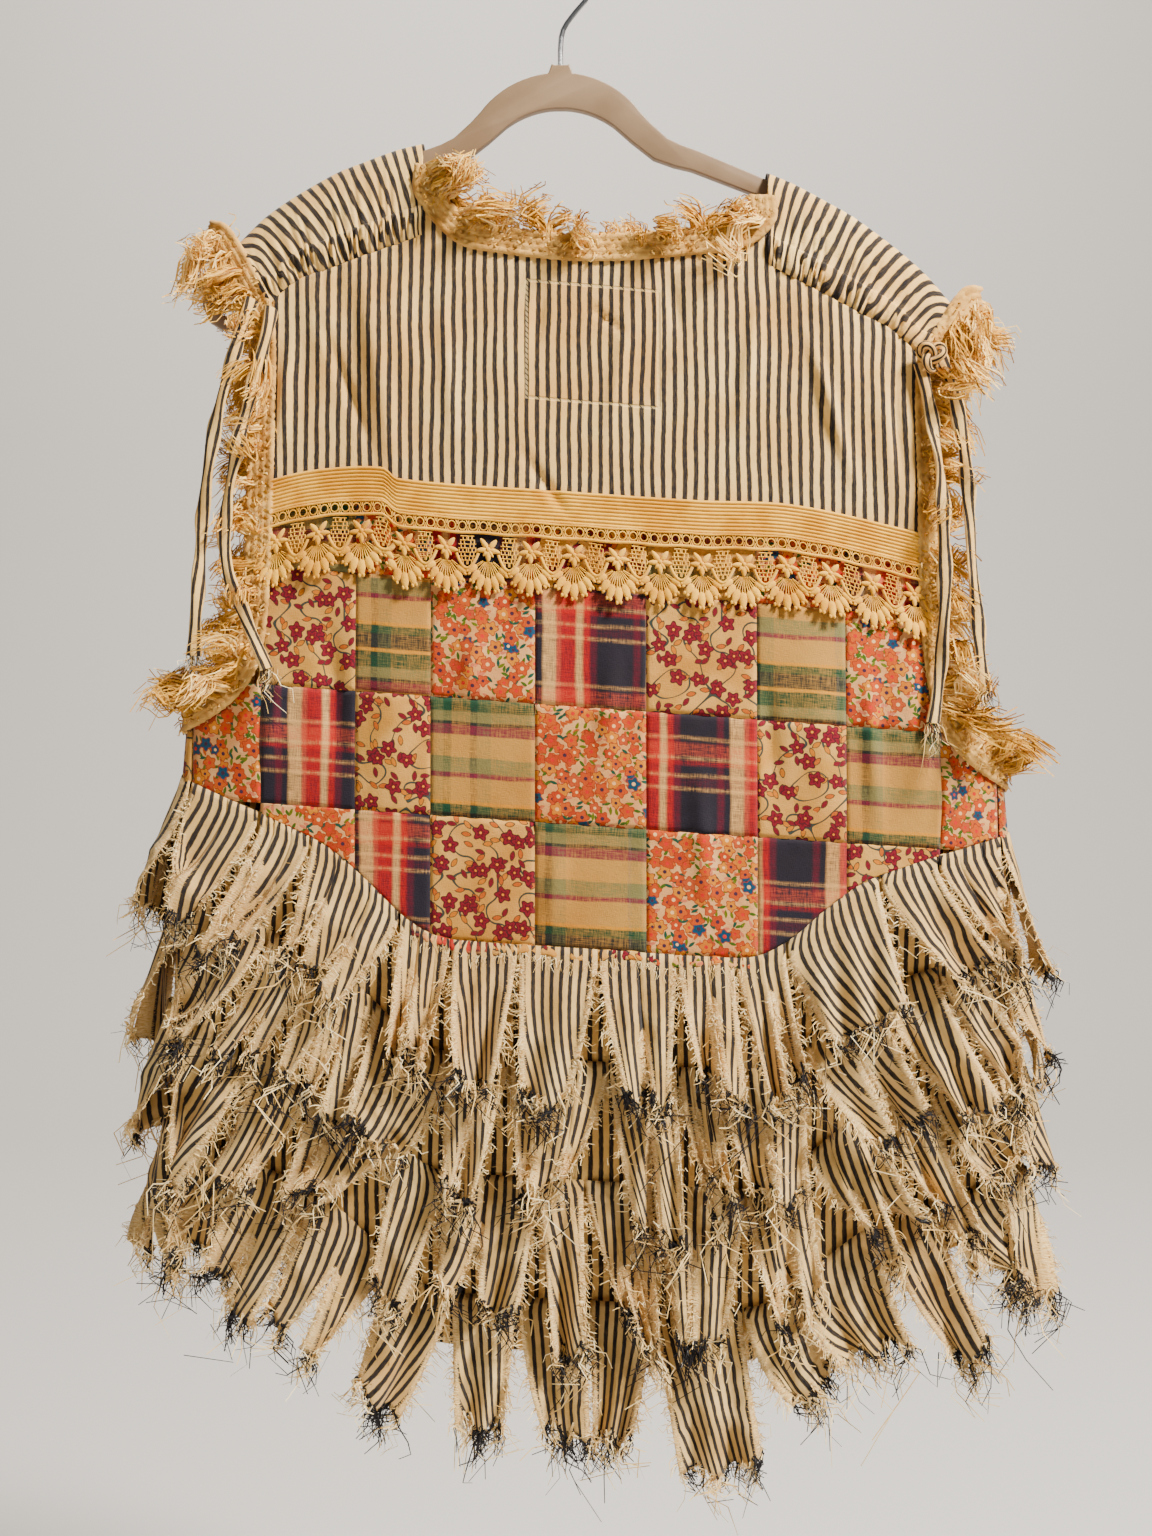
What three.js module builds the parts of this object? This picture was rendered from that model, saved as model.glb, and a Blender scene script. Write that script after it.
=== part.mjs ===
// Sleeveless patchwork vest on a hanger, seen from its back: a ticking yoke, drawstring
// shoulder bands, a crochet lace edging, sewn patches and four tiers of torn ticking tabs.
// Millimetres, +Z up. The origin is the inside top of the hanger's hook, and the back faces -Y.
import * as THREE from 'three';

// Driving dimensions
const CLOTH = 1.2;
const LACE = 1.4;
const SEAM = 0.3;
const EDGE_GAP = 1.5;
const SHIFT_X = 21;
const SQUARENESS = 2.6;

// Half width and half depth of the worn-open cloth at each height, and how far it leans
const BODY = [
  { z: -900, width: 266, depth: 42, lean: 0.055 },
  { z: -808, width: 262, depth: 40, lean: 0.055 },
  { z: -602, width: 256, depth: 34, lean: 0.065 },
  { z: -488, width: 247, depth: 30, lean: 0.07 },
  { z: -330, width: 234, depth: 22, lean: 0.08 },
  { z: -204, width: 232, depth: 14, lean: 0.085 },
  { z: -120, width: 230, depth: 10, lean: 0.085 },
];

// Soft folds: where each starts and ends, its half width and how far it stands out
const FOLDS = [
  { fromS: -128, toS: -112, topZ: -185, lowZ: -300, half: 13, out: 4.5 },
  { fromS: -168, toS: -160, topZ: -205, lowZ: -290, half: 10, out: 3 },
  { fromS: 142, toS: 150, topZ: -190, lowZ: -290, half: 12, out: 3.5 },
  { fromS: 166, toS: 196, topZ: -215, lowZ: -360, half: 13, out: 5 },
  { fromS: -60, toS: -48, topZ: -195, lowZ: -330, half: 16, out: 2 },
  { fromS: 72, toS: 66, topZ: -180, lowZ: -320, half: 18, out: 2 },
  { fromS: 128, toS: 140, topZ: -380, lowZ: -560, half: 15, out: 4 },
  { fromS: 186, toS: 196, topZ: -370, lowZ: -540, half: 14, out: 5 },
  { fromS: -118, toS: -124, topZ: -390, lowZ: -560, half: 16, out: 3.5 },
  { fromS: -206, toS: -214, topZ: -455, lowZ: -525, half: 14, out: 3 },
  { fromS: 360, toS: 350, topZ: -200, lowZ: -420, half: 16, out: 3 },
  { fromS: -360, toS: -350, topZ: -200, lowZ: -420, half: 16, out: 3 },
];

// Neck seam across the back, and the seam under each shoulder casing
const NECK_SEAM = [
  { u: -112, z: -164 }, { u: -100, z: -176 }, { u: -82, z: -183 }, { u: -55, z: -187 },
  { u: -19, z: -188 }, { u: 17, z: -185 }, { u: 53, z: -179 }, { u: 89, z: -171 },
  { u: 103, z: -164 }, { u: 112, z: -155 },
];
const CASING_SEAM = [
  { u: 105, z: -183 }, { u: 125, z: -192 }, { u: 141, z: -199 }, { u: 161, z: -208 },
  { u: 176, z: -214 }, { u: 188, z: -223 }, { u: 196, z: -232 },
];
const SHOULDER_TOP = [
  { u: 105, z: -126 }, { u: 120, z: -131 }, { u: 140, z: -140 }, { u: 160, z: -150 },
  { u: 197, z: -176 }, { u: 218, z: -198 }, { u: 226, z: -207 },
];

// Armhole edge of the back, from the casing down to the underarm
const ARMHOLE = [
  { s: 256, z: -489 }, { s: 248, z: -486 }, { s: 234, z: -479 }, { s: 218, z: -467 },
  { s: 206, z: -450 }, { s: 200, z: -425 }, { s: 197, z: -380 }, { s: 196, z: -330 },
  { s: 195, z: -280 }, { s: 196, z: -240 },
];

// Patchwork: where the columns and rows are sewn, and the curve that the skirt hangs from
const PATCH_COLUMNS = [-244, -200, -143, -98, -36, 30, 96, 149, 206, 244];
const PATCH_ROWS = [-338, -389, -459, -529];
const SKIRT_SEAM = [
  { s: 0, z: -602 }, { s: 70, z: -602 }, { s: 95, z: -600 }, { s: 115, z: -589 },
  { s: 135, z: -571 }, { s: 158, z: -553 }, { s: 180, z: -543 }, { s: 215, z: -530 },
  { s: 262, z: -516 }, { s: 330, z: -514 }, { s: 560, z: -528 },
];
const YOKE_LOW = -338;
const SIDE_S = 244;

// Lace edging across the back
const LACE_TOP = [
  { s: -206, z: -341 }, { s: -170, z: -330 }, { s: -127, z: -325 }, { s: -118, z: -331 },
  { s: -20, z: -331 }, { s: 60, z: -330 }, { s: 120, z: -328 }, { s: 206, z: -340 },
];
const LACE_REPEATS = 16;
const LACE_DROP = 66;

// Tiers of torn tabs
const TIER_DROPS = [0, 66, 136, 206];
const TAB_LENGTH = 86;
const TAB_HEADER = 8;
const TABS_BACK = 12;
const TABS_FRONT = 6;
const SKIRT_LENGTH = 238;
const FRONT_EDGE = 18;

// Hanger
const HOOK_WIRE = 3.2;
const HOOK_BEND = 18.6;
const NUB_TOP = -68;
const HANGER_THICK = 7;
const ARCH_TOP = -72.5;
const ARCH_OUTER = 68;
const ARCH_BAND = 22;

const MATERIALS = {
  ticking: { color: 0xd9bd8c, roughness: 0.9, metalness: 0 },
  vine_floral: { color: 0xdcb98a, roughness: 0.9, metalness: 0 },
  green_plaid: { color: 0x9a9468, roughness: 0.9, metalness: 0 },
  orange_floral: { color: 0xe08a4a, roughness: 0.9, metalness: 0 },
  red_plaid: { color: 0x8a3a44, roughness: 0.9, metalness: 0 },
  lace: { color: 0xdcb47c, roughness: 0.95, metalness: 0 },
  yarn: { color: 0xd8a868, roughness: 0.95, metalness: 0 },
  hanger_plastic: { color: 0xa59684, roughness: 0.45, metalness: 0 },
  hook_steel: { color: 0xc8c8cc, roughness: 0.25, metalness: 1 },
};
const PATCH_FABRICS = ['vine_floral', 'green_plaid', 'orange_floral', 'red_plaid'];

const vest = new THREE.Group();

function material(name) {
  return new THREE.MeshStandardMaterial(MATERIALS[name]);
}

function addMesh(name, geometry, materialName) {
  const mesh = new THREE.Mesh(geometry, material(materialName));
  mesh.name = name;
  vest.add(mesh);
}

function lerp(a, b, t) {
  return a + (b - a) * t;
}

// Smooth curve through the rows of a table, from column `x` to column `y`
function read(table, x, y, at) {
  const rows = table[0][x] < table[table.length - 1][x] ? table : [...table].reverse();
  const last = rows.length - 1;
  const value = Math.min(Math.max(at, rows[0][x]), rows[last][x]);
  let i = 0;
  while (i < last - 1 && value > rows[i + 1][x]) {
    i += 1;
  }
  const slope = (k) => {
    const a = rows[Math.max(k - 1, 0)];
    const b = rows[Math.min(k + 1, last)];
    return (b[y] - a[y]) / (b[x] - a[x]);
  };
  const span = rows[i + 1][x] - rows[i][x];
  const t = (value - rows[i][x]) / span;
  const t2 = t * t;
  const t3 = t2 * t;
  return (2 * t3 - 3 * t2 + 1) * rows[i][y] + (t3 - 2 * t2 + t) * span * slope(i)
    + (3 * t2 - 2 * t3) * rows[i + 1][y] + (t3 - t2) * span * slope(i + 1);
}

// A fixed, uneven value from 0 to 1 for each pair of counters
function uneven(a, b) {
  const value = Math.sin(a * 12.9898 + b * 78.233) * 43758.5453;
  return value - Math.floor(value);
}

// Cross-section of the body at one height, as points with their length from the centre back
const SECTION_STEPS = 120;
const sections = new Map();
function section(z) {
  const key = Math.round(z * 20);
  if (sections.has(key)) {
    return sections.get(key);
  }
  const width = read(BODY, 'z', 'width', z);
  const depth = read(BODY, 'z', 'depth', z);
  const points = [];
  let length = 0;
  for (let i = 0; i <= SECTION_STEPS; i += 1) {
    const half = (i <= SECTION_STEPS / 2 ? i : SECTION_STEPS - i) / (SECTION_STEPS / 2);
    const across = 1 - (1 - half) ** 2;
    const x = width * across;
    const front = i > SECTION_STEPS / 2 ? 1 : -1;
    const y = front * depth * (1 - across ** SQUARENESS) ** (1 / SQUARENESS);
    if (i > 0) {
      const before = points[i - 1];
      length += Math.hypot(x - before.x, y - before.y);
    }
    points.push({ x, y, length });
  }
  const made = { points, half: length };
  sections.set(key, made);
  return made;
}

function sectionPoint(s, z) {
  const { points, half } = section(z);
  const at = Math.min(Math.abs(s), half);
  let low = 0;
  let high = points.length - 1;
  while (high - low > 1) {
    const middle = (low + high) >> 1;
    if (points[middle].length <= at) {
      low = middle;
    } else {
      high = middle;
    }
  }
  const a = points[low];
  const b = points[high];
  const t = (at - a.length) / (b.length - a.length);
  return { x: Math.sign(s || 1) * lerp(a.x, b.x, t), y: lerp(a.y, b.y, t) };
}

function foldOut(s, z) {
  let out = 0;
  for (const fold of FOLDS) {
    const along = (fold.topZ - z) / (fold.topZ - fold.lowZ);
    if (along > 0 && along < 1) {
      const across = (s - lerp(fold.fromS, fold.toS, along)) / fold.half;
      out += fold.out * Math.sin(Math.PI * along) ** 2 * Math.exp(-across * across);
    }
  }
  return out;
}

// Outward direction of the plain section, measured over a few millimetres
const NORMAL_REACH = 5;
function outward(s, z) {
  const a = sectionPoint(s - NORMAL_REACH, z);
  const b = sectionPoint(s + NORMAL_REACH, z);
  const length = Math.hypot(b.x - a.x, b.y - a.y) || 1;
  return { x: (b.y - a.y) / length, y: -(b.x - a.x) / length };
}

function lean(x, z) {
  return -read(BODY, 'z', 'lean', z) * x;
}

// Point of the worn cloth: s runs round from the centre back, off stands out from it
function body(s, z, off) {
  const p = sectionPoint(s, z);
  const n = outward(s, z);
  const out = off + foldOut(s, z);
  const x = p.x + n.x * out;
  return new THREE.Vector3(x + SHIFT_X, p.y + n.y * out, z + lean(x, z));
}

// Closed wall from a grid of outer and inner points; keep says which cells are cloth, and
// spike gives the tapered four-sided lock that grows from a cell's lower rim, or null
function wall(columns, rows, outer, inner, keep = () => true, spike = () => null) {
  const positions = [];
  const number = (i, j, side) => (j * (columns + 1) + i) * 2 + side;
  for (let j = 0; j <= rows; j += 1) {
    for (let i = 0; i <= columns; i += 1) {
      positions.push(...outer(i, j).toArray(), ...inner(i, j).toArray());
    }
  }
  const has = (i, j) => i >= 0 && j >= 0 && i < columns && j < rows && keep(i, j);
  const index = [];
  const rim = (p, q) => {
    index.push(q, p, p + 1, q, p + 1, q + 1);
  };
  for (let j = 0; j < rows; j += 1) {
    for (let i = 0; i < columns; i += 1) {
      if (has(i, j)) {
        const a = number(i, j + 1, 0);
        const b = number(i + 1, j + 1, 0);
        const c = number(i + 1, j, 0);
        const d = number(i, j, 0);
        index.push(a, b, c, a, c, d);
        index.push(a + 1, c + 1, b + 1, a + 1, d + 1, c + 1);
        const grown = has(i, j + 1) ? null : spike(i);
        if (grown) {
          addSpike(positions, index, [b, a, a + 1, b + 1], grown);
        } else if (!has(i, j + 1)) {
          rim(a, b);
        }
        if (!has(i + 1, j)) rim(b, c);
        if (!has(i, j - 1)) rim(c, d);
        if (!has(i - 1, j)) rim(d, a);
      }
    }
  }
  return closed(positions, index);
}

// Four sides from a rim to a narrower ring and on to a tip
function addSpike(positions, index, base, { ring, tip }) {
  const first = positions.length / 3;
  for (const p of [...ring, tip]) {
    positions.push(...p.toArray());
  }
  for (let k = 0; k < 4; k += 1) {
    const next = (k + 1) % 4;
    index.push(base[k], base[next], first + next, base[k], first + next, first + k);
    index.push(first + k, first + next, first + 4);
  }
}

// Geometry with shared corners whose faces point out
function closed(positions, index) {
  const used = [...new Set(index)];
  const place = new Map(used.map((old, now) => [old, now]));
  const points = used.flatMap((old) => positions.slice(old * 3, old * 3 + 3));
  const faces = index.map((old) => place.get(old));
  let volume = 0;
  for (let i = 0; i < faces.length; i += 3) {
    const [a, b, c] = [0, 1, 2].map((k) => new THREE.Vector3().fromArray(points, faces[i + k] * 3));
    volume += a.dot(b.cross(c));
  }
  if (volume < 0) {
    faces.reverse();
  }
  const geometry = new THREE.BufferGeometry();
  geometry.setAttribute('position', new THREE.Float32BufferAttribute(points, 3));
  geometry.setIndex(faces);
  return geometry;
}

// Wall on the body whose cells run over at(f, g), a pair of s and z, lifted by lift(f, g)
function clothWall(columns, rows, at, lift = () => 0, thick = CLOTH, keep = undefined) {
  const side = (extra) => (i, j) => {
    const f = i / columns;
    const g = j / rows;
    const { s, z } = at(f, g);
    return body(s, z, lift(f, g) + extra);
  };
  return wall(columns, rows, side(thick), side(0), keep);
}

// Hanger: arch, two sloping arms and a curled tip at each end
const ARM_CENTRE = [
  { x: 62, z: -119.5, wide: 15 }, { x: 80, z: -125.5, wide: 12.5 }, { x: 110, z: -137.5, wide: 11.5 },
  { x: 140, z: -150, wide: 10.5 }, { x: 165, z: -164, wide: 10 }, { x: 188, z: -180, wide: 10 },
  { x: 205, z: -195, wide: 10 }, { x: 213, z: -209, wide: 9.5 }, { x: 208, z: -223, wide: 8.5 },
  { x: 196, z: -227, wide: 7 },
];
const ARCH_STEPS = 7;

function hangerCentre() {
  const points = [];
  const inner = ARCH_OUTER - ARCH_BAND / 2;
  for (let i = 0; i <= ARCH_STEPS; i += 1) {
    const angle = (i / ARCH_STEPS) * 0.86;
    const wide = lerp(ARCH_BAND, 17, (i / ARCH_STEPS) ** 2);
    points.push({ x: inner * Math.sin(angle), z: ARCH_TOP - ARCH_OUTER + inner * Math.cos(angle), wide });
  }
  return [...points, ...ARM_CENTRE];
}

function hangerHalfOutline() {
  const centre = hangerCentre();
  const path = new THREE.CatmullRomCurve3(centre.map((p) => new THREE.Vector3(p.x, p.z, p.wide)));
  const steps = 30;
  const upper = [];
  const lower = [];
  for (let i = 0; i <= steps; i += 1) {
    const p = path.getPoint(i / steps);
    const t = path.getTangent(i / steps);
    const length = Math.hypot(t.x, t.y);
    const half = p.z / 2;
    upper.push(new THREE.Vector2(p.x - (t.y / length) * half, p.y + (t.x / length) * half));
    lower.push(new THREE.Vector2(p.x + (t.y / length) * half, p.y - (t.x / length) * half));
  }
  return { upper: upper.slice(1), lower: lower.slice(1) };
}

function makeHanger() {
  const { upper, lower } = hangerHalfOutline();
  const flip = (p) => new THREE.Vector2(-p.x, p.y);
  const nub = [
    new THREE.Vector2(-7.5, ARCH_TOP - 0.6), new THREE.Vector2(-5.3, NUB_TOP + 1),
    new THREE.Vector2(-4, NUB_TOP), new THREE.Vector2(4, NUB_TOP),
    new THREE.Vector2(5.3, NUB_TOP + 1), new THREE.Vector2(7.5, ARCH_TOP - 0.6),
  ];
  const rightUpper = upper.filter((p) => p.x > 9);
  const outline = [
    ...[...rightUpper].map(flip).reverse(), ...nub, ...rightUpper,
    ...[...lower].reverse(), ...lower.map(flip),
  ].filter((p, i, all) => i === 0 || p.distanceTo(all[i - 1]) > 0.2);
  const geometry = new THREE.ExtrudeGeometry(new THREE.Shape(outline), {
    depth: HANGER_THICK, bevelEnabled: false, steps: 1,
  });
  geometry.translate(0, 0, -HANGER_THICK / 2);
  geometry.rotateX(Math.PI / 2);
  addMesh('hanger', geometry, 'hanger_plastic');
}

function circleShape(radius, sides) {
  const points = [];
  for (let i = 0; i < sides; i += 1) {
    const angle = (i / sides) * 2 * Math.PI;
    points.push(new THREE.Vector2(radius * Math.cos(angle), radius * Math.sin(angle)));
  }
  return new THREE.Shape(points);
}

function makeHook() {
  const centreZ = -HOOK_BEND + HOOK_WIRE / 2;
  const points = [
    new THREE.Vector3(0, 0, NUB_TOP + SEAM), new THREE.Vector3(0, 0, -56),
    new THREE.Vector3(1.5, 0, -46), new THREE.Vector3(9, 0, -35),
  ];
  for (let i = 0; i <= 12; i += 1) {
    const angle = THREE.MathUtils.degToRad(lerp(-35, 205, i / 12));
    points.push(new THREE.Vector3(HOOK_BEND * Math.cos(angle), 0, centreZ + HOOK_BEND * Math.sin(angle)));
  }
  const path = new THREE.CatmullRomCurve3(points);
  const geometry = new THREE.ExtrudeGeometry(circleShape(HOOK_WIRE / 2, 8), {
    steps: 28, bevelEnabled: false, extrudePath: path,
  });
  addMesh('hook', geometry, 'hook_steel');
}

// Back yoke: ticking between the neck seam, the casings, the armholes and the lace
function yokeTop(u) {
  const edge = Math.abs(u);
  return edge < 104 ? read(NECK_SEAM, 'u', 'z', u) : read(CASING_SEAM, 'u', 'z', edge);
}

function makeYoke() {
  const at = (f, g) => {
    const top = lerp(-195.5, 195.5, f);
    const low = lerp(-196, 196, f);
    return { s: lerp(top, low, g), z: lerp(yokeTop(top) - 4 * SEAM, YOKE_LOW, g) };
  };
  addMesh('yoke_back', clothWall(26, 5, at), 'ticking');
}

// Shoulder band: a strip over the shoulder with a gathered casing along its back edge
const BAND_COLUMNS = 18;
const BAND_ROWS = 7;
const FRONT_BAND_DROP = 36;
const CAP_POWER = 0.6;

function bandPoint(side, f, g, off) {
  const turn = lerp(Math.PI / 2, -Math.PI / 2, g);
  const reach = Math.cos(turn);
  const u = lerp(105.5, lerp(195.5, 217, reach), f);
  const top = read(SHOULDER_TOP, 'u', 'z', u);
  const back = turn < 0;
  const seam = back ? read(CASING_SEAM, 'u', 'z', u) : top - FRONT_BAND_DROP;
  const half = Math.abs(sectionPoint(Math.min(u, 196), seam).y);
  const out = Math.sign(turn) * (half + off) * Math.abs(Math.sin(turn)) ** CAP_POWER;
  const z = seam + (top - seam + off) * Math.cos(turn);
  const x = side * u;
  return new THREE.Vector3(x + SHIFT_X, out, z + lean(x, z));
}

function makeBand(side, name) {
  const pucker = (i, j) => (j >= BAND_ROWS - 3 && j < BAND_ROWS && i % 2 === 1 ? 1.6 : 0);
  const across = (i) => (side > 0 ? i : BAND_COLUMNS - i) / BAND_COLUMNS;
  const outer = (i, j) => bandPoint(side, across(i), j / BAND_ROWS, CLOTH + pucker(i, j));
  const inner = (i, j) => bandPoint(side, across(i), j / BAND_ROWS, 0);
  addMesh(name, wall(BAND_COLUMNS, BAND_ROWS, outer, inner), 'ticking');
}

// Patches
function armholeS(z) {
  return z > -440 ? read(ARMHOLE, 'z', 's', z) : 206;
}

function armholeZ(s) {
  return Math.abs(s) > 206 ? read(ARMHOLE, 's', 'z', Math.abs(s)) : -440;
}

function skirtSeam(s) {
  return read(SKIRT_SEAM, 's', 'z', Math.abs(s));
}

function patchAt(column, row) {
  const left = PATCH_COLUMNS[column] + SEAM / 2;
  const right = PATCH_COLUMNS[column + 1] - SEAM / 2;
  const top = PATCH_ROWS[row] - SEAM;
  const low = row === 3 ? -700 : PATCH_ROWS[row + 1];
  return (f, g) => {
    let s = lerp(left, right, f);
    const upper = row === 2 ? Math.min(top, armholeZ(s) - EDGE_GAP) : top;
    const lower = Math.max(low, skirtSeam(s));
    const z = lerp(upper, lower, g);
    if (row < 2) {
      s = Math.sign(s) * Math.min(Math.abs(s), armholeS(z));
    }
    return { s, z };
  };
}

function patchFabric(column, row) {
  return PATCH_FABRICS[(column - row + 8) % 4];
}

function makePatches() {
  const columnsOf = { 1: [1, 7], 2: [0, 8], 3: [1, 7] };
  for (const row of [1, 2, 3]) {
    const [first, last] = columnsOf[row];
    for (let column = first; column <= last; column += 1) {
      const name = `patch_r${row}_c${column}`;
      const columns = Math.abs(PATCH_COLUMNS[column] + PATCH_COLUMNS[column + 1]) > 420 ? 5 : 3;
      addMesh(name, clothWall(columns, 3, patchAt(column, row)), patchFabric(column, row));
    }
  }
  const strip = (f, g) => {
    const z = lerp(PATCH_ROWS[0] - SEAM, PATCH_ROWS[1], g);
    const edge = armholeS(z);
    return { s: lerp(-edge, edge, f), z };
  };
  addMesh('patch_strip_top', clothWall(15, 2, strip), 'vine_floral');
}

// Lace edging: a ribbed band, then a net with cut gaps and pointed fans
const LACE_LIFT = CLOTH + 2 * SEAM;
const LACE_CELLS = 4;
const LACE_ROWS = [
  { down: 0, out: 0 }, { down: 14, out: 0.6 }, { down: 27, out: 0 }, { down: 34, out: 0.3 },
  { down: 42, out: 0.3 }, { down: 49, out: 0 }, { down: 57, out: 0 },
];
const FAN_POINTS = [4, 6, 9, 7];

function laceKeep(i, j) {
  const m = i % LACE_CELLS;
  const ringGap = j === 2 && m % 2 === 0;
  const netGap = j === 4 && m === 2;
  const fanNotch = j === 5 && m === 0;
  return !(ringGap || netGap || fanNotch);
}

function makeLace() {
  const columns = LACE_REPEATS * LACE_CELLS;
  const rows = LACE_ROWS.length - 1;
  const at = (f, g) => {
    const j = Math.round(g * rows);
    const i = Math.round(f * columns);
    const s = lerp(-203, 203, f);
    const down = LACE_ROWS[j].down + (j === rows ? FAN_POINTS[i % LACE_CELLS] : 0);
    return { s, z: read(LACE_TOP, 's', 'z', s) - down * (LACE_DROP / 66) };
  };
  const lift = (f, g) => {
    const repeat = Math.floor(f * LACE_REPEATS);
    return LACE_LIFT + LACE_ROWS[Math.round(g * rows)].out + 3 * g * g * uneven(repeat, 3);
  };
  addMesh('lace_back', clothWall(columns, rows, at, lift, LACE, laceKeep), 'lace');
}

// Front panels
function frontS(side, u, z) {
  return side * (section(z).half - u);
}

function orient(side, f) {
  return side > 0 ? f : 1 - f;
}

const FRONT_NECK = 106;

function frontSeam(u) {
  return read(SHOULDER_TOP, 'u', 'z', u) - FRONT_BAND_DROP - EDGE_GAP;
}

function frontNeck(z) {
  const top = frontSeam(FRONT_NECK);
  const along = THREE.MathUtils.clamp((top - z) / (top - YOKE_LOW), 0, 1);
  return lerp(FRONT_NECK, FRONT_EDGE, along);
}

function makeFrontUpper(side, name) {
  const at = (f, g) => {
    const across = orient(side, f);
    const topU = lerp(195, FRONT_NECK, across);
    const lowU = lerp(196, FRONT_EDGE, across);
    const z = lerp(frontSeam(topU), YOKE_LOW, g);
    return { s: frontS(side, lerp(topU, lowU, g), z), z };
  };
  addMesh(name, clothWall(10, 5, at), 'ticking');
}

function makeFrontPatchwork(side, name) {
  const rows = [-338 - SEAM, -385, -425, -450, -467, -479, -486, -492];
  const last = rows.length;
  const at = (f, g) => {
    const across = orient(side, f);
    const j = Math.round(g * last);
    const z = j < last ? rows[j] : -528;
    const outer = j < last - 1 ? frontS(1, read(ARMHOLE, 'z', 's', z) - EDGE_GAP, z) : SIDE_S + 1;
    const s = lerp(outer, section(z).half - FRONT_EDGE, across);
    return { s: side * s, z: j < last ? z : skirtSeam(s) + SEAM };
  };
  addMesh(name, clothWall(10, last, at), 'orange_floral');
}

// Skirt that the tiers are sewn to
function spanAt(part, z) {
  const front = section(z).half - FRONT_EDGE;
  return {
    back: { from: -SIDE_S, to: SIDE_S },
    right: { from: SIDE_S + 1, to: front },
    left: { from: -front, to: -SIDE_S - 1 },
  }[part];
}

function makeSkirt(part, columns) {
  const at = (f, g) => {
    const rough = spanAt(part, -650);
    const seam = skirtSeam(lerp(rough.from, rough.to, f));
    const z = lerp(seam - EDGE_GAP, seam - SKIRT_LENGTH, g);
    const span = spanAt(part, z);
    return { s: lerp(span.from, span.to, f), z };
  };
  const lift = (f, g) => -CLOTH - 3 * SEAM - 3 * g * (0.5 - 0.5 * Math.cos(f * columns * Math.PI));
  addMesh(`skirt_${part}`, clothWall(columns, 4, at, lift), 'ticking');
}

// One tier: a gathered header with torn tabs that spread and curl as they fall
const TAB_ROWS = 3;
const TAB_CURLS = [
  { left: 1, middle: 0, right: 1 }, { left: 0.2, middle: 1, right: 0 },
  { left: 1, middle: 0.4, right: 0 }, { left: 0, middle: 0.5, right: 1 },
];

function tabShape(tier, tab) {
  const pick = (k) => uneven(tier * 31 + tab, k);
  return {
    length: TAB_LENGTH * (0.88 + 0.26 * pick(1)),
    left: 0.2 * pick(2) ** 1.5,
    right: 0.2 * pick(3) ** 1.5,
    slant: 14 * (pick(4) - 0.5),
    curl: TAB_CURLS[Math.floor(4 * pick(5))],
  };
}

function tabDown(shape, row, part) {
  const g = Math.max(row - 1, 0) / TAB_ROWS;
  const tip = [shape.slant, 6, -shape.slant][part];
  return row === 0 ? 0 : TAB_HEADER + (shape.length - TAB_HEADER + tip) * g;
}

function makeTier(tier, part, tabs) {
  const columns = tabs * 3 - 1;
  const rows = TAB_ROWS + 1;
  const offset = { back: 0, right: 40, left: 80 }[part];
  const point = (extra) => (i, j) => {
    const tab = Math.floor(i / 3);
    const place = i % 3;
    const shape = tabShape(tier, tab + offset);
    const down = tabDown(shape, j, place);
    const fall = Math.max(0, j - 1) / TAB_ROWS;
    const edges = [shape.left * fall, 0.47 + 0.5 * (shape.left - shape.right) * fall, 0.93 - shape.right * fall];
    const f = (tab + edges[place]) / (tabs - 0.07);
    const rough = spanAt(part, -650 - TIER_DROPS[tier]);
    const z = skirtSeam(lerp(rough.from, rough.to, f)) - EDGE_GAP - TIER_DROPS[tier] - down;
    const span = spanAt(part, z);
    const curl = [shape.curl.left, shape.curl.middle, shape.curl.right][place];
    const flare = 12 * (down / 85) ** 0.8 + 9 * (down / 85) * curl;
    const gather = j === 1 && place === 1 ? 1 : 0;
    return body(lerp(span.from, span.to, f), z, flare + gather + extra);
  };
  const keep = (i, j) => j === 0 || i % 3 !== 2;
  addMesh(`tier_${tier + 1}_${part}`, wall(columns, rows, point(CLOTH), point(0), keep), 'ticking');
}

// Tape along an edge, with yarn locks growing from its free side
const TAPE_WIDTH = 12;
const LOCK_WAIST = 0.5;

function lockSpike(at, t, step, style) {
  const edge = EDGE_GAP + TAPE_WIDTH;
  const place = (shift, width, off) => {
    const { s, z } = at(THREE.MathUtils.clamp(t + shift, 0, 1), width);
    return body(s, z, off);
  };
  const waist = edge + style.length * LOCK_WAIST;
  const narrow = step * 0.22;
  const outs = [style.out * LOCK_WAIST + CLOTH + 0.6, style.out * LOCK_WAIST - 0.6];
  const ring = [
    place(narrow, waist, outs[0]), place(-narrow, waist, outs[0]),
    place(-narrow, waist, outs[1]), place(narrow, waist, outs[1]),
  ];
  const tip = place(style.sway * step, edge + style.length, style.out);
  ring.forEach((p) => { p.z -= style.drop * 0.3; });
  tip.z -= style.drop;
  return { ring, tip };
}

function tapeTrim(name, path, steps, skip, lockStyle) {
  const at = (t, width) => {
    const p = path.getPointAt(t);
    const q = path.getTangentAt(t);
    return { s: p.x - q.y * width, z: p.y + q.x * width };
  };
  const point = (extra) => (i, j) => {
    const { s, z } = at(i / steps, EDGE_GAP + j * TAPE_WIDTH);
    return body(s, z, extra);
  };
  const spike = (i) => {
    const t = (i + 0.5) / steps;
    const style = uneven(i, 11) < skip ? null : lockStyle(t, i);
    return style && lockSpike(at, t, 1 / steps, style);
  };
  addMesh(name, wall(steps, 1, point(CLOTH), point(0), undefined, spike), 'yarn');
}

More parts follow.
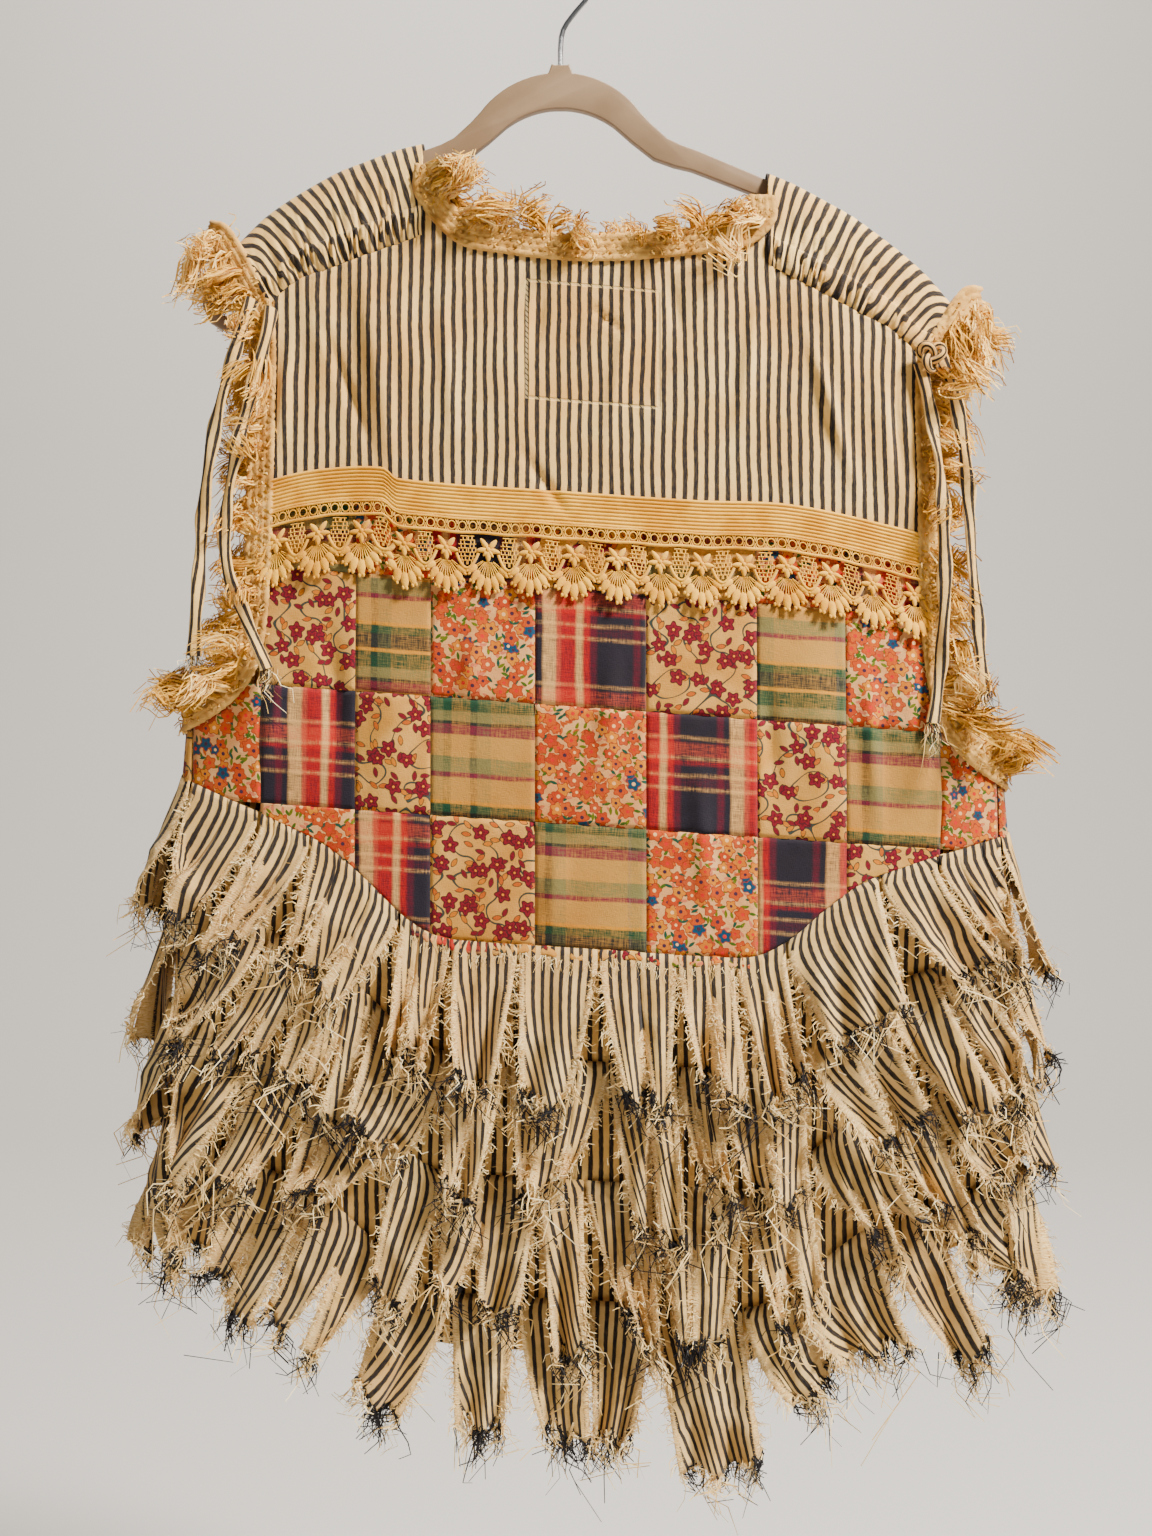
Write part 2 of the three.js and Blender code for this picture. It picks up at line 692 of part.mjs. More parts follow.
function pathThrough(points) {
  return new THREE.CatmullRomCurve3(points.map((p) => new THREE.Vector3(p.s, p.z, 0)), false, 'centripetal');
}

function makeNeckTrim() {
  const points = [{ s: -105.4, z: -140 }, { s: -105.4, z: -158 }];
  for (const p of NECK_SEAM.slice(2, 8)) {
    points.push({ s: p.u, z: p.z });
  }
  points.push({ s: 105.4, z: -155 }, { s: 105.4, z: -141 });
  const style = (t, k) => ({
    length: 9 + 22 * uneven(k, 21) ** 1.5, out: 1 - 4 * uneven(k, 22), sway: uneven(k, 23) - 0.5, drop: 2,
  });
  tapeTrim('trim_neck', pathThrough(points), 34, 0, style);
}

// Armhole ring in body lengths: up the back edge, over the shoulder end, down the front
function armholePoints() {
  const back = ARMHOLE.map((p) => ({ ...p }));
  const over = [
    { s: 199, z: -230 }, { s: 204, z: -219 }, { s: 212, z: -206 }, { s: 218, z: -196 }, { s: 226, z: -187 },
  ];
  const tip = section(back[0].z).half / 2;
  back[0].s = tip - 1;
  const rising = [...back, ...over];
  const falling = [...rising].reverse().map((p) => ({ s: section(p.z).half - p.s, z: p.z }));
  return [...rising, ...falling];
}

function makeArmholeTrim(side, name) {
  const points = armholePoints().map((p) => ({ s: side * p.s, z: p.z }));
  const ordered = side > 0 ? [...points].reverse() : points;
  const style = (t, k) => {
    const along = side > 0 ? 1 - t : t;
    const size = uneven(k, side > 0 ? 33 : 34);
    if (along > 0.37 && along < 0.46) {
      return null;
    }
    const top = along >= 0.46 && along < 0.6;
    return {
      length: top ? 6 : 9 + 12 * size, out: top ? 16 : 7, sway: uneven(k, 35) - 0.5, drop: 5 * size,
    };
  };
  tapeTrim(name, pathThrough(ordered), 46, 0.05, style);
}

function makeFrontTrim(side, name) {
  const points = [];
  for (let i = 0; i <= 14; i += 1) {
    const z = lerp(-168, -512, i / 14);
    points.push({ s: frontS(side, frontNeck(z), z), z });
  }
  const ordered = side > 0 ? points : [...points].reverse();
  const style = (t, k) => {
    const high = side > 0 ? t < 0.48 : t > 0.52;
    const length = high ? 8 + 14 * uneven(k, 41) : 4.5;
    return { length, out: high ? 3 : 10, sway: uneven(k, 43) - 0.5, drop: 3 * uneven(k, 42) };
  };
  tapeTrim(name, pathThrough(ordered), 24, 0.12, style);
}

// Drawstring ties, each a flat strip that hangs from the end of a casing
const TIE_WIDTH = 9;
const TIE_THICK = 3;
const TIES = [
  { name: 'tie_left_outer', route: [
    [-185, -15.2, -213], [-191, -20, -232], [-205, -26, -289], [-212, -27, -340], [-215, -27, -380], [-218, -27, -428]] },
  { name: 'tie_left_inner', route: [
    [-173.5, -14.3, -218], [-177, -19.5, -240], [-191, -28, -300], [-199, -30, -350], [-197, -31, -378],
    [-187, -31, -404], [-174, -31, -436]] },
  { name: 'tie_right_inner', route: [
    [216, -17, -252], [220, -21, -274], [227, -28, -330], [228, -30, -395], [225, -31, -440], [221, -31, -468]] },
  { name: 'tie_right_outer', route: [
    [227.5, -15.3, -247], [235, -20, -268], [242, -26, -320], [245, -27, -372], [249, -27, -415], [252, -27, -449]] },
];

function tieShape() {
  const points = [];
  for (let i = 0; i < 8; i += 1) {
    const angle = ((i + 0.5) / 8) * 2 * Math.PI;
    points.push(new THREE.Vector2((TIE_WIDTH / 2) * Math.cos(angle), (TIE_THICK / 2) * Math.sin(angle)));
  }
  return new THREE.Shape(points);
}

function makeTies() {
  for (const tie of TIES) {
    const path = new THREE.CatmullRomCurve3(tie.route.map((p) => new THREE.Vector3(...p)));
    const geometry = new THREE.ExtrudeGeometry(tieShape(), { steps: 12, bevelEnabled: false, extrudePath: path });
    addMesh(tie.name, geometry, 'ticking');
  }
}

makeHanger();
makeHook();
makeYoke();
makeBand(-1, 'band_left');
makeBand(1, 'band_right');
makeLace();
makePatches();
makeFrontUpper(-1, 'front_upper_left');
makeFrontUpper(1, 'front_upper_right');
makeFrontPatchwork(-1, 'front_patchwork_left');
makeFrontPatchwork(1, 'front_patchwork_right');
makeSkirt('back', 12);
makeSkirt('left', 12);
makeSkirt('right', 12);
for (let tier = 0; tier < TIER_DROPS.length; tier += 1) {
  makeTier(tier, 'back', TABS_BACK);
  makeTier(tier, 'left', TABS_FRONT);
  makeTier(tier, 'right', TABS_FRONT);
}
makeNeckTrim();
makeArmholeTrim(-1, 'trim_armhole_left');
makeArmholeTrim(1, 'trim_armhole_right');
makeFrontTrim(-1, 'trim_front_left');
makeFrontTrim(1, 'trim_front_right');
makeTies();

export default vest;
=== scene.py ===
import math
import bpy
import numpy as np
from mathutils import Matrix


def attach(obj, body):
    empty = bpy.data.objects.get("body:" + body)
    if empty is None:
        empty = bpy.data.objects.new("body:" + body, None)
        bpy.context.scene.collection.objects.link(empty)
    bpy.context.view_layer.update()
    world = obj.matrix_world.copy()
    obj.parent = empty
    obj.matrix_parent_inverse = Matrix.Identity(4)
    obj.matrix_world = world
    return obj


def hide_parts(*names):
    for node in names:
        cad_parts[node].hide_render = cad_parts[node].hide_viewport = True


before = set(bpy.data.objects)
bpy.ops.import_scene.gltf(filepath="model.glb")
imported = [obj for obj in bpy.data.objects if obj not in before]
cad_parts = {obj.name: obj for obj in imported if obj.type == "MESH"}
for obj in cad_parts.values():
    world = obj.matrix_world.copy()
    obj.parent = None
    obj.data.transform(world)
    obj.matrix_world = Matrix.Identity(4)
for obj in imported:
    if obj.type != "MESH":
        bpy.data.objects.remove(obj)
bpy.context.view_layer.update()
bpy.ops.object.select_all(action="DESELECT")

# Camera and studio
# The vest is seen square on to its back, from 1.2 m, level with the middle of the picture. It
# hangs before a sweep of pale paper, with the main light from the upper right.
CAMERA_AT = (0.0094, -1.235, -0.4946)
CAMERA_LENS = 47.6
bpy.ops.object.camera_add(location=CAMERA_AT, rotation=(math.pi / 2, 0, 0))
camera = bpy.context.object
camera.data.lens = CAMERA_LENS
camera.data.sensor_width = 36
bpy.context.scene.camera = camera
DYE_DEPTH = 1.3


def dye(red, green, blue):
    channels = []
    for value in (red, green, blue):
        share = value / 255
        channels.append(share / 12.92 if share <= 0.04045 else ((share + 0.055) / 1.055) ** 2.4)
    grey = 0.21 * channels[0] + 0.72 * channels[1] + 0.07 * channels[2]
    return (*(min(max(grey + (value - grey) * DYE_DEPTH, 0.004), 0.98) for value in channels), 1.0)


class Amount:
    """A number, place or colour that a finish works out at each point of a surface."""

    def __init__(self, socket):
        self.socket = socket
        self.tree = socket.id_data

    def __add__(self, other):
        return calc("ADD", self, other)

    def __radd__(self, other):
        return calc("ADD", other, self)

    def __sub__(self, other):
        return calc("SUBTRACT", self, other)

    def __rsub__(self, other):
        return calc("SUBTRACT", other, self)

    def __mul__(self, other):
        return calc("MULTIPLY", self, other)

    def __truediv__(self, other):
        return calc("DIVIDE", self, other)

    def __abs__(self):
        return calc("ABSOLUTE", self)


def feed(node, **inputs):
    for key, value in inputs.items():
        socket = node.inputs[int(key[1:])] if key[1:].isdigit() else node.inputs[key.replace("_", " ")]
        if isinstance(value, Amount):
            value.tree.links.new(value.socket, socket)
        else:
            socket.default_value = value
    return node


def put(tree, kind, settings=None, **inputs):
    node = tree.nodes.new(kind)
    for key, value in (settings or {}).items():
        setattr(node, key, value)
    return feed(node, **inputs)


def calc(operation, *values):
    tree = next(value.tree for value in values if isinstance(value, Amount))
    inputs = {f"i{k}": value for k, value in enumerate(values)}
    return Amount(put(tree, "ShaderNodeMath", {"operation": operation}, **inputs).outputs[0])


def bumped(height, **sizes):
    return Amount(put(height.tree, "ShaderNodeBump", Height=height, **sizes).outputs["Normal"])


def new_finish(name, roughness, **inputs):
    finish = bpy.data.materials.new(name)
    finish.use_nodes = True
    tree = finish.node_tree
    return finish, tree, feed(tree.nodes["Principled BSDF"], Roughness=roughness, **inputs)


PANELS = {
    "key_panel": ((1.3, -0.9, 1.15), (0, 0, -0.5), 0.4, 180),
    "fill_panel": ((-1.4, -1.5, -0.2), (0, 0, -0.5), 1.6, 9),
    "top_panel": ((0.2, 0.5, 0.9), (0, 0, -0.3), 1.2, 12),
    "backdrop_panel": ((0, 1.6, 2.6), (0, 4.2, 0.2), 1.8, 190),
}
for name, (place, aim, size, watts) in PANELS.items():
    bpy.ops.object.light_add(type="AREA", location=place)
    panel = bpy.context.object
    panel.name = name
    panel.data.size = size
    panel.data.energy = watts
    panel.data.color = (1.0, 0.96, 0.9)
    away = [place[k] - aim[k] for k in range(3)]
    tilt = math.atan2(math.hypot(away[0], away[1]), away[2])
    panel.rotation_euler = (tilt, 0, math.atan2(away[0], -away[1]))
world = bpy.data.worlds.new("studio_air")
world.use_nodes = True
feed(world.node_tree.nodes["Background"], Color=(0.95, 0.97, 1.0, 1), Strength=0.1)
bpy.context.scene.world = world

FLOOR_Z = -1.2
WALL_Y = 4.2
FLOOR_NEAR_Y = -6.0
PAPER_WIDTH = 26
WALL_HEIGHT = 8
bpy.ops.mesh.primitive_plane_add(size=1, location=(0, 0, 0))
backdrop = bpy.context.object
backdrop.name = "backdrop"
for corner in backdrop.data.vertices:
    corner.co = (corner.co.x * PAPER_WIDTH, WALL_Y if corner.co.y > 0 else FLOOR_NEAR_Y, FLOOR_Z)
bpy.ops.object.mode_set(mode="EDIT")
bpy.ops.mesh.select_mode(type="EDGE")
bpy.ops.mesh.select_all(action="DESELECT")
bpy.ops.object.mode_set(mode="OBJECT")
for edge in backdrop.data.edges:
    edge.select = all(backdrop.data.vertices[v].co.y > 0 for v in edge.vertices)
bpy.ops.object.mode_set(mode="EDIT")
bpy.ops.mesh.extrude_region_move(TRANSFORM_OT_translate={"value": (0, 0, WALL_HEIGHT)})
bpy.ops.object.mode_set(mode="OBJECT")
bend = backdrop.modifiers.new("sweep", "BEVEL")
bend.width = 1.6
bend.segments = 16
bpy.ops.object.modifier_apply(modifier="sweep")
bpy.ops.object.shade_smooth()
paper, paper_tree, paper_surface = new_finish("backdrop_paper", 0.9, Base_Color=dye(205, 202, 198))
tooth = Amount(put(paper_tree, "ShaderNodeTexNoise", Scale=180.0, Detail=3.0).outputs["Fac"])
feed(paper_surface, Normal=bumped(tooth, Strength=0.03))
backdrop.data.materials.append(paper)


# Back yoke
# One wide panel of cream ticking with charcoal stripes, seamed to the neck tape and to the
# casings, with a square of plain stitching below the neck and soft folds from the hanger.
SHIFT_X = 21.0
SQUARENESS = 2.6
BODY = np.array([
    (-960, 267, 43, 0.055), (-900, 266, 42, 0.055), (-808, 262, 40, 0.055), (-602, 256, 34, 0.065),
    (-488, 247, 30, 0.07), (-330, 234, 22, 0.08), (-204, 232, 14, 0.085), (-120, 230, 10, 0.085),
])
FOLDS = [
    (-128, -112, -185, -300, 13, 4.5), (-168, -160, -205, -290, 10, 3), (142, 150, -190, -290, 12, 3.5),
    (166, 196, -215, -360, 13, 5), (-60, -48, -195, -330, 16, 2), (72, 66, -180, -320, 18, 2),
    (128, 140, -380, -560, 15, 4), (186, 196, -370, -540, 14, 5), (-118, -124, -390, -560, 16, 3.5),
    (-206, -214, -455, -525, 14, 3), (360, 350, -200, -420, 16, 3), (-360, -350, -200, -420, 16, 3),
]
CREASES = [
    (-146, -116, -176, -352, 8, 1.5), (-172, -128, -222, -330, 3.5, -0.9), (-95, -82, -196, -330, 5, 0.8),
    (-30, -38, -200, -255, 4, -0.8), (22, 4, -205, -320, 5, 0.7), (-8, 22, -214, -236, 3, -0.9),
    (44, 52, -190, -236, 4, -0.8), (100, 84, -186, -300, 5, 1.2), (-50, -12, -300, -352, 4, -0.9),
    (122, 160, -205, -330, 4, 1.4), (178, 184, -235, -320, 4, -1.4), (-182, -190, -240, -330, 5, 1.3),
    (-70, -78, -410, -470, 6, 1.1), (12, 4, -400, -520, 7, 1.0), (60, 66, -470, -590, 6, 1.1),
    (100, 108, -420, -520, 5, -1.2), (160, 168, -400, -540, 5, 1.5), (214, 206, -465, -525, 5, 1.2),
    (-160, -152, -400, -520, 6, -1.2), (-20, -30, -535, -598, 6, 1.1), (-185, -200, -440, -520, 5, 1.2),
    (330, 336, -220, -330, 6, 1.2), (-330, -336, -220, -330, 6, 1.2), (400, 396, -360, -500, 7, 1.2),
    (-400, -396, -360, -500, 7, 1.2), (450, 440, -300, -420, 6, 1.0), (-450, -440, -300, -420, 6, 1.0),
]
CREASE_DEPTH = 3.6
CLOTH = 1.2
TICKING_WALL = 0.0008
SEAM = 0.3
EDGE_GAP = 1.5
YOKE_TOP_HALF = 195.5
YOKE_LOW_HALF = 196.0
YOKE_LOW = -338.0
NECK_SEAM = np.array([
    (-112, -164), (-100, -176), (-82, -183), (-55, -187), (-19, -188), (17, -185), (53, -179),
    (89, -171), (103, -164), (112, -155),
])
CASING_SEAM = np.array([
    (105, -183), (125, -192), (141, -199), (161, -208), (176, -214), (188, -223), (196, -232),
])


def read(table, at, column=1):
    rows = table if table[0, 0] < table[-1, 0] else table[::-1]
    x = rows[:, 0]
    y = rows[:, column]
    last = len(rows) - 1
    value = np.clip(at, x[0], x[-1])
    i = np.clip(np.searchsorted(x, value, side="left") - 1, 0, last - 1)
    before = np.maximum(np.arange(last + 1) - 1, 0)
    after = np.minimum(np.arange(last + 1) + 1, last)
    slope = (y[after] - y[before]) / (x[after] - x[before])
    span = x[i + 1] - x[i]
    t = (value - x[i]) / span
    return ((2 * t**3 - 3 * t**2 + 1) * y[i] + (t**3 - 2 * t**2 + t) * span * slope[i]
            + (3 * t**2 - 2 * t**3) * y[i + 1] + (t**3 - t**2) * span * slope[i + 1])


# Sections of the worn body every few millimetres, each as even steps of its own length
SECTION_Z = np.arange(-960.0, -99.0, 4.0)
SECTION_SHARES = np.linspace(0, 1, 601)


def section_table():
    half_steps = 1 - (1 - np.linspace(0, 1, 61)) ** 2
    across = np.concatenate([half_steps, half_steps[-2::-1]])
    front = np.where(np.arange(121) > 60, 1.0, -1.0)
    xs = np.zeros((len(SECTION_Z), len(SECTION_SHARES)))
    ys = np.zeros_like(xs)
    halves = np.zeros(len(SECTION_Z))
    for k, z in enumerate(SECTION_Z):
        x = read(BODY, z, 1) * across
        y = front * read(BODY, z, 2) * (1 - across**SQUARENESS) ** (1 / SQUARENESS)
        length = np.concatenate([[0], np.cumsum(np.hypot(np.diff(x), np.diff(y)))])
        halves[k] = length[-1]
        xs[k] = np.interp(SECTION_SHARES * length[-1], length, x)
        ys[k] = np.interp(SECTION_SHARES * length[-1], length, y)
    return xs, ys, halves


SECTION_X, SECTION_Y, SECTION_HALF = section_table()


def half_round(z):
    return np.interp(z, SECTION_Z, SECTION_HALF)


def section_point(s, z):
    row = np.clip((z - SECTION_Z[0]) / 4.0, 0, len(SECTION_Z) - 1.001)
    low = row.astype(int)
    part = row - low
    share = np.clip(np.abs(s) / half_round(z), 0, 1) * (len(SECTION_SHARES) - 1.001)
    left = share.astype(int)
    along = share - left

    def pick(table):
        a = table[low, left] * (1 - along) + table[low, left + 1] * along
        b = table[low + 1, left] * (1 - along) + table[low + 1, left + 1] * along
        return a * (1 - part) + b * part

    return np.where(s < 0, -1.0, 1.0) * pick(SECTION_X), pick(SECTION_Y)


def fold_out(s, z, table):
    out = np.zeros_like(s)
    for from_s, to_s, top_z, low_z, half, height in table:
        along = np.clip((top_z - z) / (top_z - low_z), 0, 1)
        across = (s - (from_s + (to_s - from_s) * along)) / half
        out += height * np.sin(math.pi * along) ** 2 * np.exp(-across * across)
    return out


def body(s, z, off, creased=True):
    s, z, off = (np.asarray(value, float) for value in np.broadcast_arrays(s, z, off))
    x, y = section_point(s, z)
    ax, ay = section_point(s - 5, z)
    bx, by = section_point(s + 5, z)
    length = np.maximum(np.hypot(bx - ax, by - ay), 1e-6)
    out = off + fold_out(s, z, FOLDS)
    if creased:
        out = out + CREASE_DEPTH * fold_out(s, z, CREASES)
    x = x + (by - ay) / length * out
    y = y - (bx - ax) / length * out
    z = z - read(BODY, z, 3) * x
    return np.stack([x + SHIFT_X, y, z], axis=-1) / 1000


def grid_faces(columns, rows):
    i, j = np.meshgrid(np.arange(columns), np.arange(rows))
    a = (j + 1) * (columns + 1) + i
    return np.stack([a, a + 1, a - columns, a - columns - 1], axis=-1).reshape(-1, 4)


def mesh_piece(name, points, quads, finish, uv=None, tone=None):
    mesh = bpy.data.meshes.new(name)
    points = points.reshape(-1, 3)
    used = np.unique(quads)
    place = np.zeros(len(points), int)
    place[used] = np.arange(len(used))
    mesh.from_pydata(points[used].tolist(), [], place[quads].tolist())
    if uv is not None:
        layer = mesh.uv_layers.new(name="cloth")
        corners = np.empty(len(mesh.loops), dtype=np.int32)
        mesh.loops.foreach_get("vertex_index", corners)
        layer.data.foreach_set("uv", uv.reshape(-1, 2)[used][corners].ravel().astype(np.float32))
    if tone is not None:
        shade = mesh.attributes.new("tone", "FLOAT", "POINT")
        shade.data.foreach_set("value", tone.reshape(-1)[used].astype(np.float32))
    mesh.materials.append(finish)
    piece = bpy.data.objects.new(name, mesh)
    bpy.context.collection.objects.link(piece)
    mesh.polygons.foreach_set("use_smooth", [True] * len(mesh.polygons))
    return piece


def thicken(piece, thickness):
    bpy.ops.object.select_all(action="DESELECT")
    piece.select_set(True)
    bpy.context.view_layer.objects.active = piece
    wall = piece.modifiers.new("wall", "SOLIDIFY")
    wall.thickness = thickness
    wall.offset = -1
    wall.use_even_offset = False
    bpy.ops.object.modifier_apply(modifier="wall")


def cloth_panel(name, columns, rows, at, finish, lift=CLOTH, thickness=TICKING_WALL, uv=None):
    f, g = np.meshgrid(np.linspace(0, 1, columns + 1), np.linspace(0, 1, rows + 1))
    s, z = at(f, g)
    raised = lift(f, g) if callable(lift) else lift
    cut = np.stack([s, z], axis=-1) / 1000 if uv is None else uv(f, g, s, z)
    piece = mesh_piece(name, body(s, z, raised), grid_faces(columns, rows), finish, cut)
    thicken(piece, thickness)
    return piece


def register(piece, slot, *nodes):
    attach(piece, "root")
    if nodes:
        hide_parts(*nodes)


def noise(place, scale, detail):
    return Amount(put(place.tree, "ShaderNodeTexNoise", Vector=place, Scale=scale, Detail=detail).outputs["Fac"])


def vector(operation, output, place, **others):
    node = put(place.tree, "ShaderNodeVectorMath", {"operation": operation}, i0=place, **others)
    return Amount(node.outputs[output])


def stretched(place, across, along, detail=2.0):
    return noise(vector("MULTIPLY", 0, place, i1=(across, along, 1)), 1.0, detail)


def axes_of(place):
    node = put(place.tree, "ShaderNodeSeparateXYZ", Vector=place)
    return Amount(node.outputs["X"]), Amount(node.outputs["Y"])


def soft_step(value, low, high):
    node = put(value.tree, "ShaderNodeMapRange", {"interpolation_type": "SMOOTHSTEP"}, Value=value,
               From_Min=low, From_Max=high)
    return Amount(node.outputs["Result"])


def blend_colour(share, first, second, how="MIX"):
    node = put(share.tree, "ShaderNodeMix", {"data_type": "RGBA", "blend_type": how}, i0=share, i6=first, i7=second)
    return Amount(node.outputs[2])


def mottled(value, pale, deep, low=0.3, high=0.7):
    return blend_colour(soft_step(value, low, high), pale, deep)


def object_place(tree):
    return Amount(put(tree, "ShaderNodeTexCoord").outputs["Object"])


def cut_place(tree):
    uv = Amount(put(tree, "ShaderNodeUVMap", {"uv_map": "cloth"}).outputs["UV"])
    return vector("SCALE", 0, uv, Scale=1000.0)


def tone_of(tree):
    return Amount(put(tree, "ShaderNodeAttribute", {"attribute_name": "tone"}).outputs["Fac"])


def finish_cloth(surface, colour, place, ridges=None, aged=0.0):
    soil = object_place(place.tree)
    tint = calc("MULTIPLY_ADD", soft_step(noise(soil, 14.0, 4.0), 0.32, 0.7), 0.3, aged)
    height = stretched(place, 2.4, 0.35) + stretched(place, 0.35, 2.4) + noise(soil, 85.0, 3.0) * 2.2
    if ridges is not None:
        height = height + ridges
    feed(surface, Base_Color=blend_colour(tint, colour, dye(204, 170, 128), "MULTIPLY"),
         Normal=bumped(height, Strength=0.55, Distance=0.0006), Sheen_Weight=0.12, Sheen_Roughness=0.5,
         Specular_IOR_Level=0.2)


COTTON_ROUGH = 0.92
STRIPE_PITCH = 6.3
STRIPE_HALF = 1.36
STRIPE_WANDER = 5.0


def ticking_finish(name, stitched=False, torn=False):
    finish, tree, surface = new_finish(name, COTTON_ROUGH)
    place = cut_place(tree)
    x, z = axes_of(place)
    across = x + (stretched(place, 0.022, 0.014) - 0.5) * STRIPE_WANDER
    off_centre = abs(calc("FRACT", across / STRIPE_PITCH) - 0.5) * STRIPE_PITCH
    streak = stretched(place, 1.6, 0.22, 3.0)
    dark = 1.0 - soft_step(off_centre + (streak - 0.5) * 1.1, STRIPE_HALF - 0.25, STRIPE_HALF + 0.3)
    # The torn tiers get a darker ground than the yoke: painted shade for the shadow the tabs cast on one another.
    pale, deep = (dye(226, 198, 150), dye(200, 168, 118)) if torn else (dye(240, 208, 152), dye(228, 188, 130))
    ground = mottled(stretched(place, 0.03, 0.03, 4.0), pale, deep)
    colour = blend_colour(dark * (0.86 + streak * 0.24), ground, dye(30, 27, 29))
    height = dark * 0.25
    if stitched:
        colour, height = stitched_square(x, z, colour, height)
    if torn:
        fuzz = stretched(place, 0.25, 1.4, 3.0)
        shed = 1.0 - soft_step(tone_of(tree) + (fuzz - 0.5) * 7.0, 2.6, 4.2)
        colour = blend_colour(shed, colour, mottled(fuzz, dye(204, 168, 116), dye(244, 220, 176)))
        height = height + fuzz * shed * 4.0
    finish_cloth(surface, colour, place, height)
    return finish


SQUARE_LEFT, SQUARE_RIGHT = -41.0, 38.0
SQUARE_TOP, SQUARE_LOW = -205.0, -276.0
STITCH_PITCH = 3.2


def stitched_square(x, z, colour, height):
    def near(value, line):
        return 1.0 - soft_step(abs(value - line), 0.4, 1.2)

    def within(value, low, high):
        return calc("GREATER_THAN", value, low) * calc("LESS_THAN", value, high)

    upright = calc("MAXIMUM", near(x, SQUARE_LEFT), near(x, SQUARE_RIGHT))
    level = calc("MAXIMUM", near(z, SQUARE_TOP), near(z, SQUARE_LOW))
    line = calc("MAXIMUM", upright * within(z, SQUARE_LOW - 1, SQUARE_TOP + 1),
                level * within(x, SQUARE_LEFT - 1, SQUARE_RIGHT + 1))
    broken = line * calc("GREATER_THAN", calc("FRACT", (x + z) / STITCH_PITCH), 0.3)
    inside = within(x, SQUARE_LEFT, SQUARE_RIGHT) * within(z, SQUARE_LOW, SQUARE_TOP)
    shaded = blend_colour(inside * 0.5, colour, dye(226, 212, 196), "MULTIPLY")
    return blend_colour(broken * 0.42, shaded, dye(238, 214, 168)), height - line * 2.0


def yoke_top(u):
    edge = np.abs(u)
    tucked = 4.0 + 5.0 * np.exp(-((u + 102) / 9) ** 2)
    return np.where(edge < 106, read(NECK_SEAM, u) + tucked, read(CASING_SEAM, edge) + 1.0)


def yoke_at(f, g):
    top = -YOKE_TOP_HALF + 2 * YOKE_TOP_HALF * f
    low = -YOKE_LOW_HALF + 2 * YOKE_LOW_HALF * f
    return top + (low - top) * g, yoke_top(top) - 4 * SEAM + (YOKE_LOW - yoke_top(top) + 4 * SEAM) * g


def yoke_lift(f, g):
    u = np.abs(-YOKE_TOP_HALF + 2 * YOKE_TOP_HALF * f)
    gathers = np.abs(np.sin(f * 131 + 2 * np.sin(f * 17))) * np.exp(-g * 7) * np.clip((u - 104) / 20, 0, 1)
    return CLOTH + 1.3 * gathers - 0.9 * np.exp(-((g - 0.012) / 0.02) ** 2)


ticking = ticking_finish("ticking_cotton")
yoke_ticking = ticking_finish("yoke_ticking_cotton", stitched=True)
yoke = cloth_panel("yoke_back_cloth", 200, 60, yoke_at, yoke_ticking, yoke_lift)
register(yoke, "ticking", "yoke_back")

# Shoulder bands
# A straight strip of ticking laid over each shoulder with its stripes across it, and a
# drawstring casing sewn along its back edge that the tie gathers into small puckers.
SHOULDER_TOP = np.array([
    (105, -126), (120, -131), (140, -140), (160, -150), (197, -176), (218, -198), (226, -207),
])
FRONT_BAND_DROP = 36.0
CAP_POWER = 0.6
BAND_COLUMNS = 136
STRIP_ROWS = 20
CASING_ROWS = 22
CASING_AT = 0.895
GATHER_AT = 0.62
PUCKERS = 17


def band_place(side, f, g, off):
    turn = math.pi / 2 - math.pi * g
    reach = np.cos(turn)
    u = 105.5 + ((195.5 + 21.5 * reach) - 105.5) * (1.04 * f - 0.015)
    top = read(SHOULDER_TOP, u)
    seam = np.where(turn < 0, read(CASING_SEAM, u), top - FRONT_BAND_DROP)
    half = np.abs(section_point(np.minimum(u, 196.0), seam)[1])
    out = np.sign(turn) * (half + off) * np.abs(np.sin(turn)) ** CAP_POWER
    z = seam + (top - seam + off) * np.cos(turn)
    x = side * u
    steep = (read(SHOULDER_TOP, u - 4) - read(SHOULDER_TOP, u + 4)) / 8
    across = u + 0.85 * steep * (top - z)
    return np.stack([x + SHIFT_X, out, z - read(BODY, z, 3) * x], axis=-1) / 1000, across / 1000


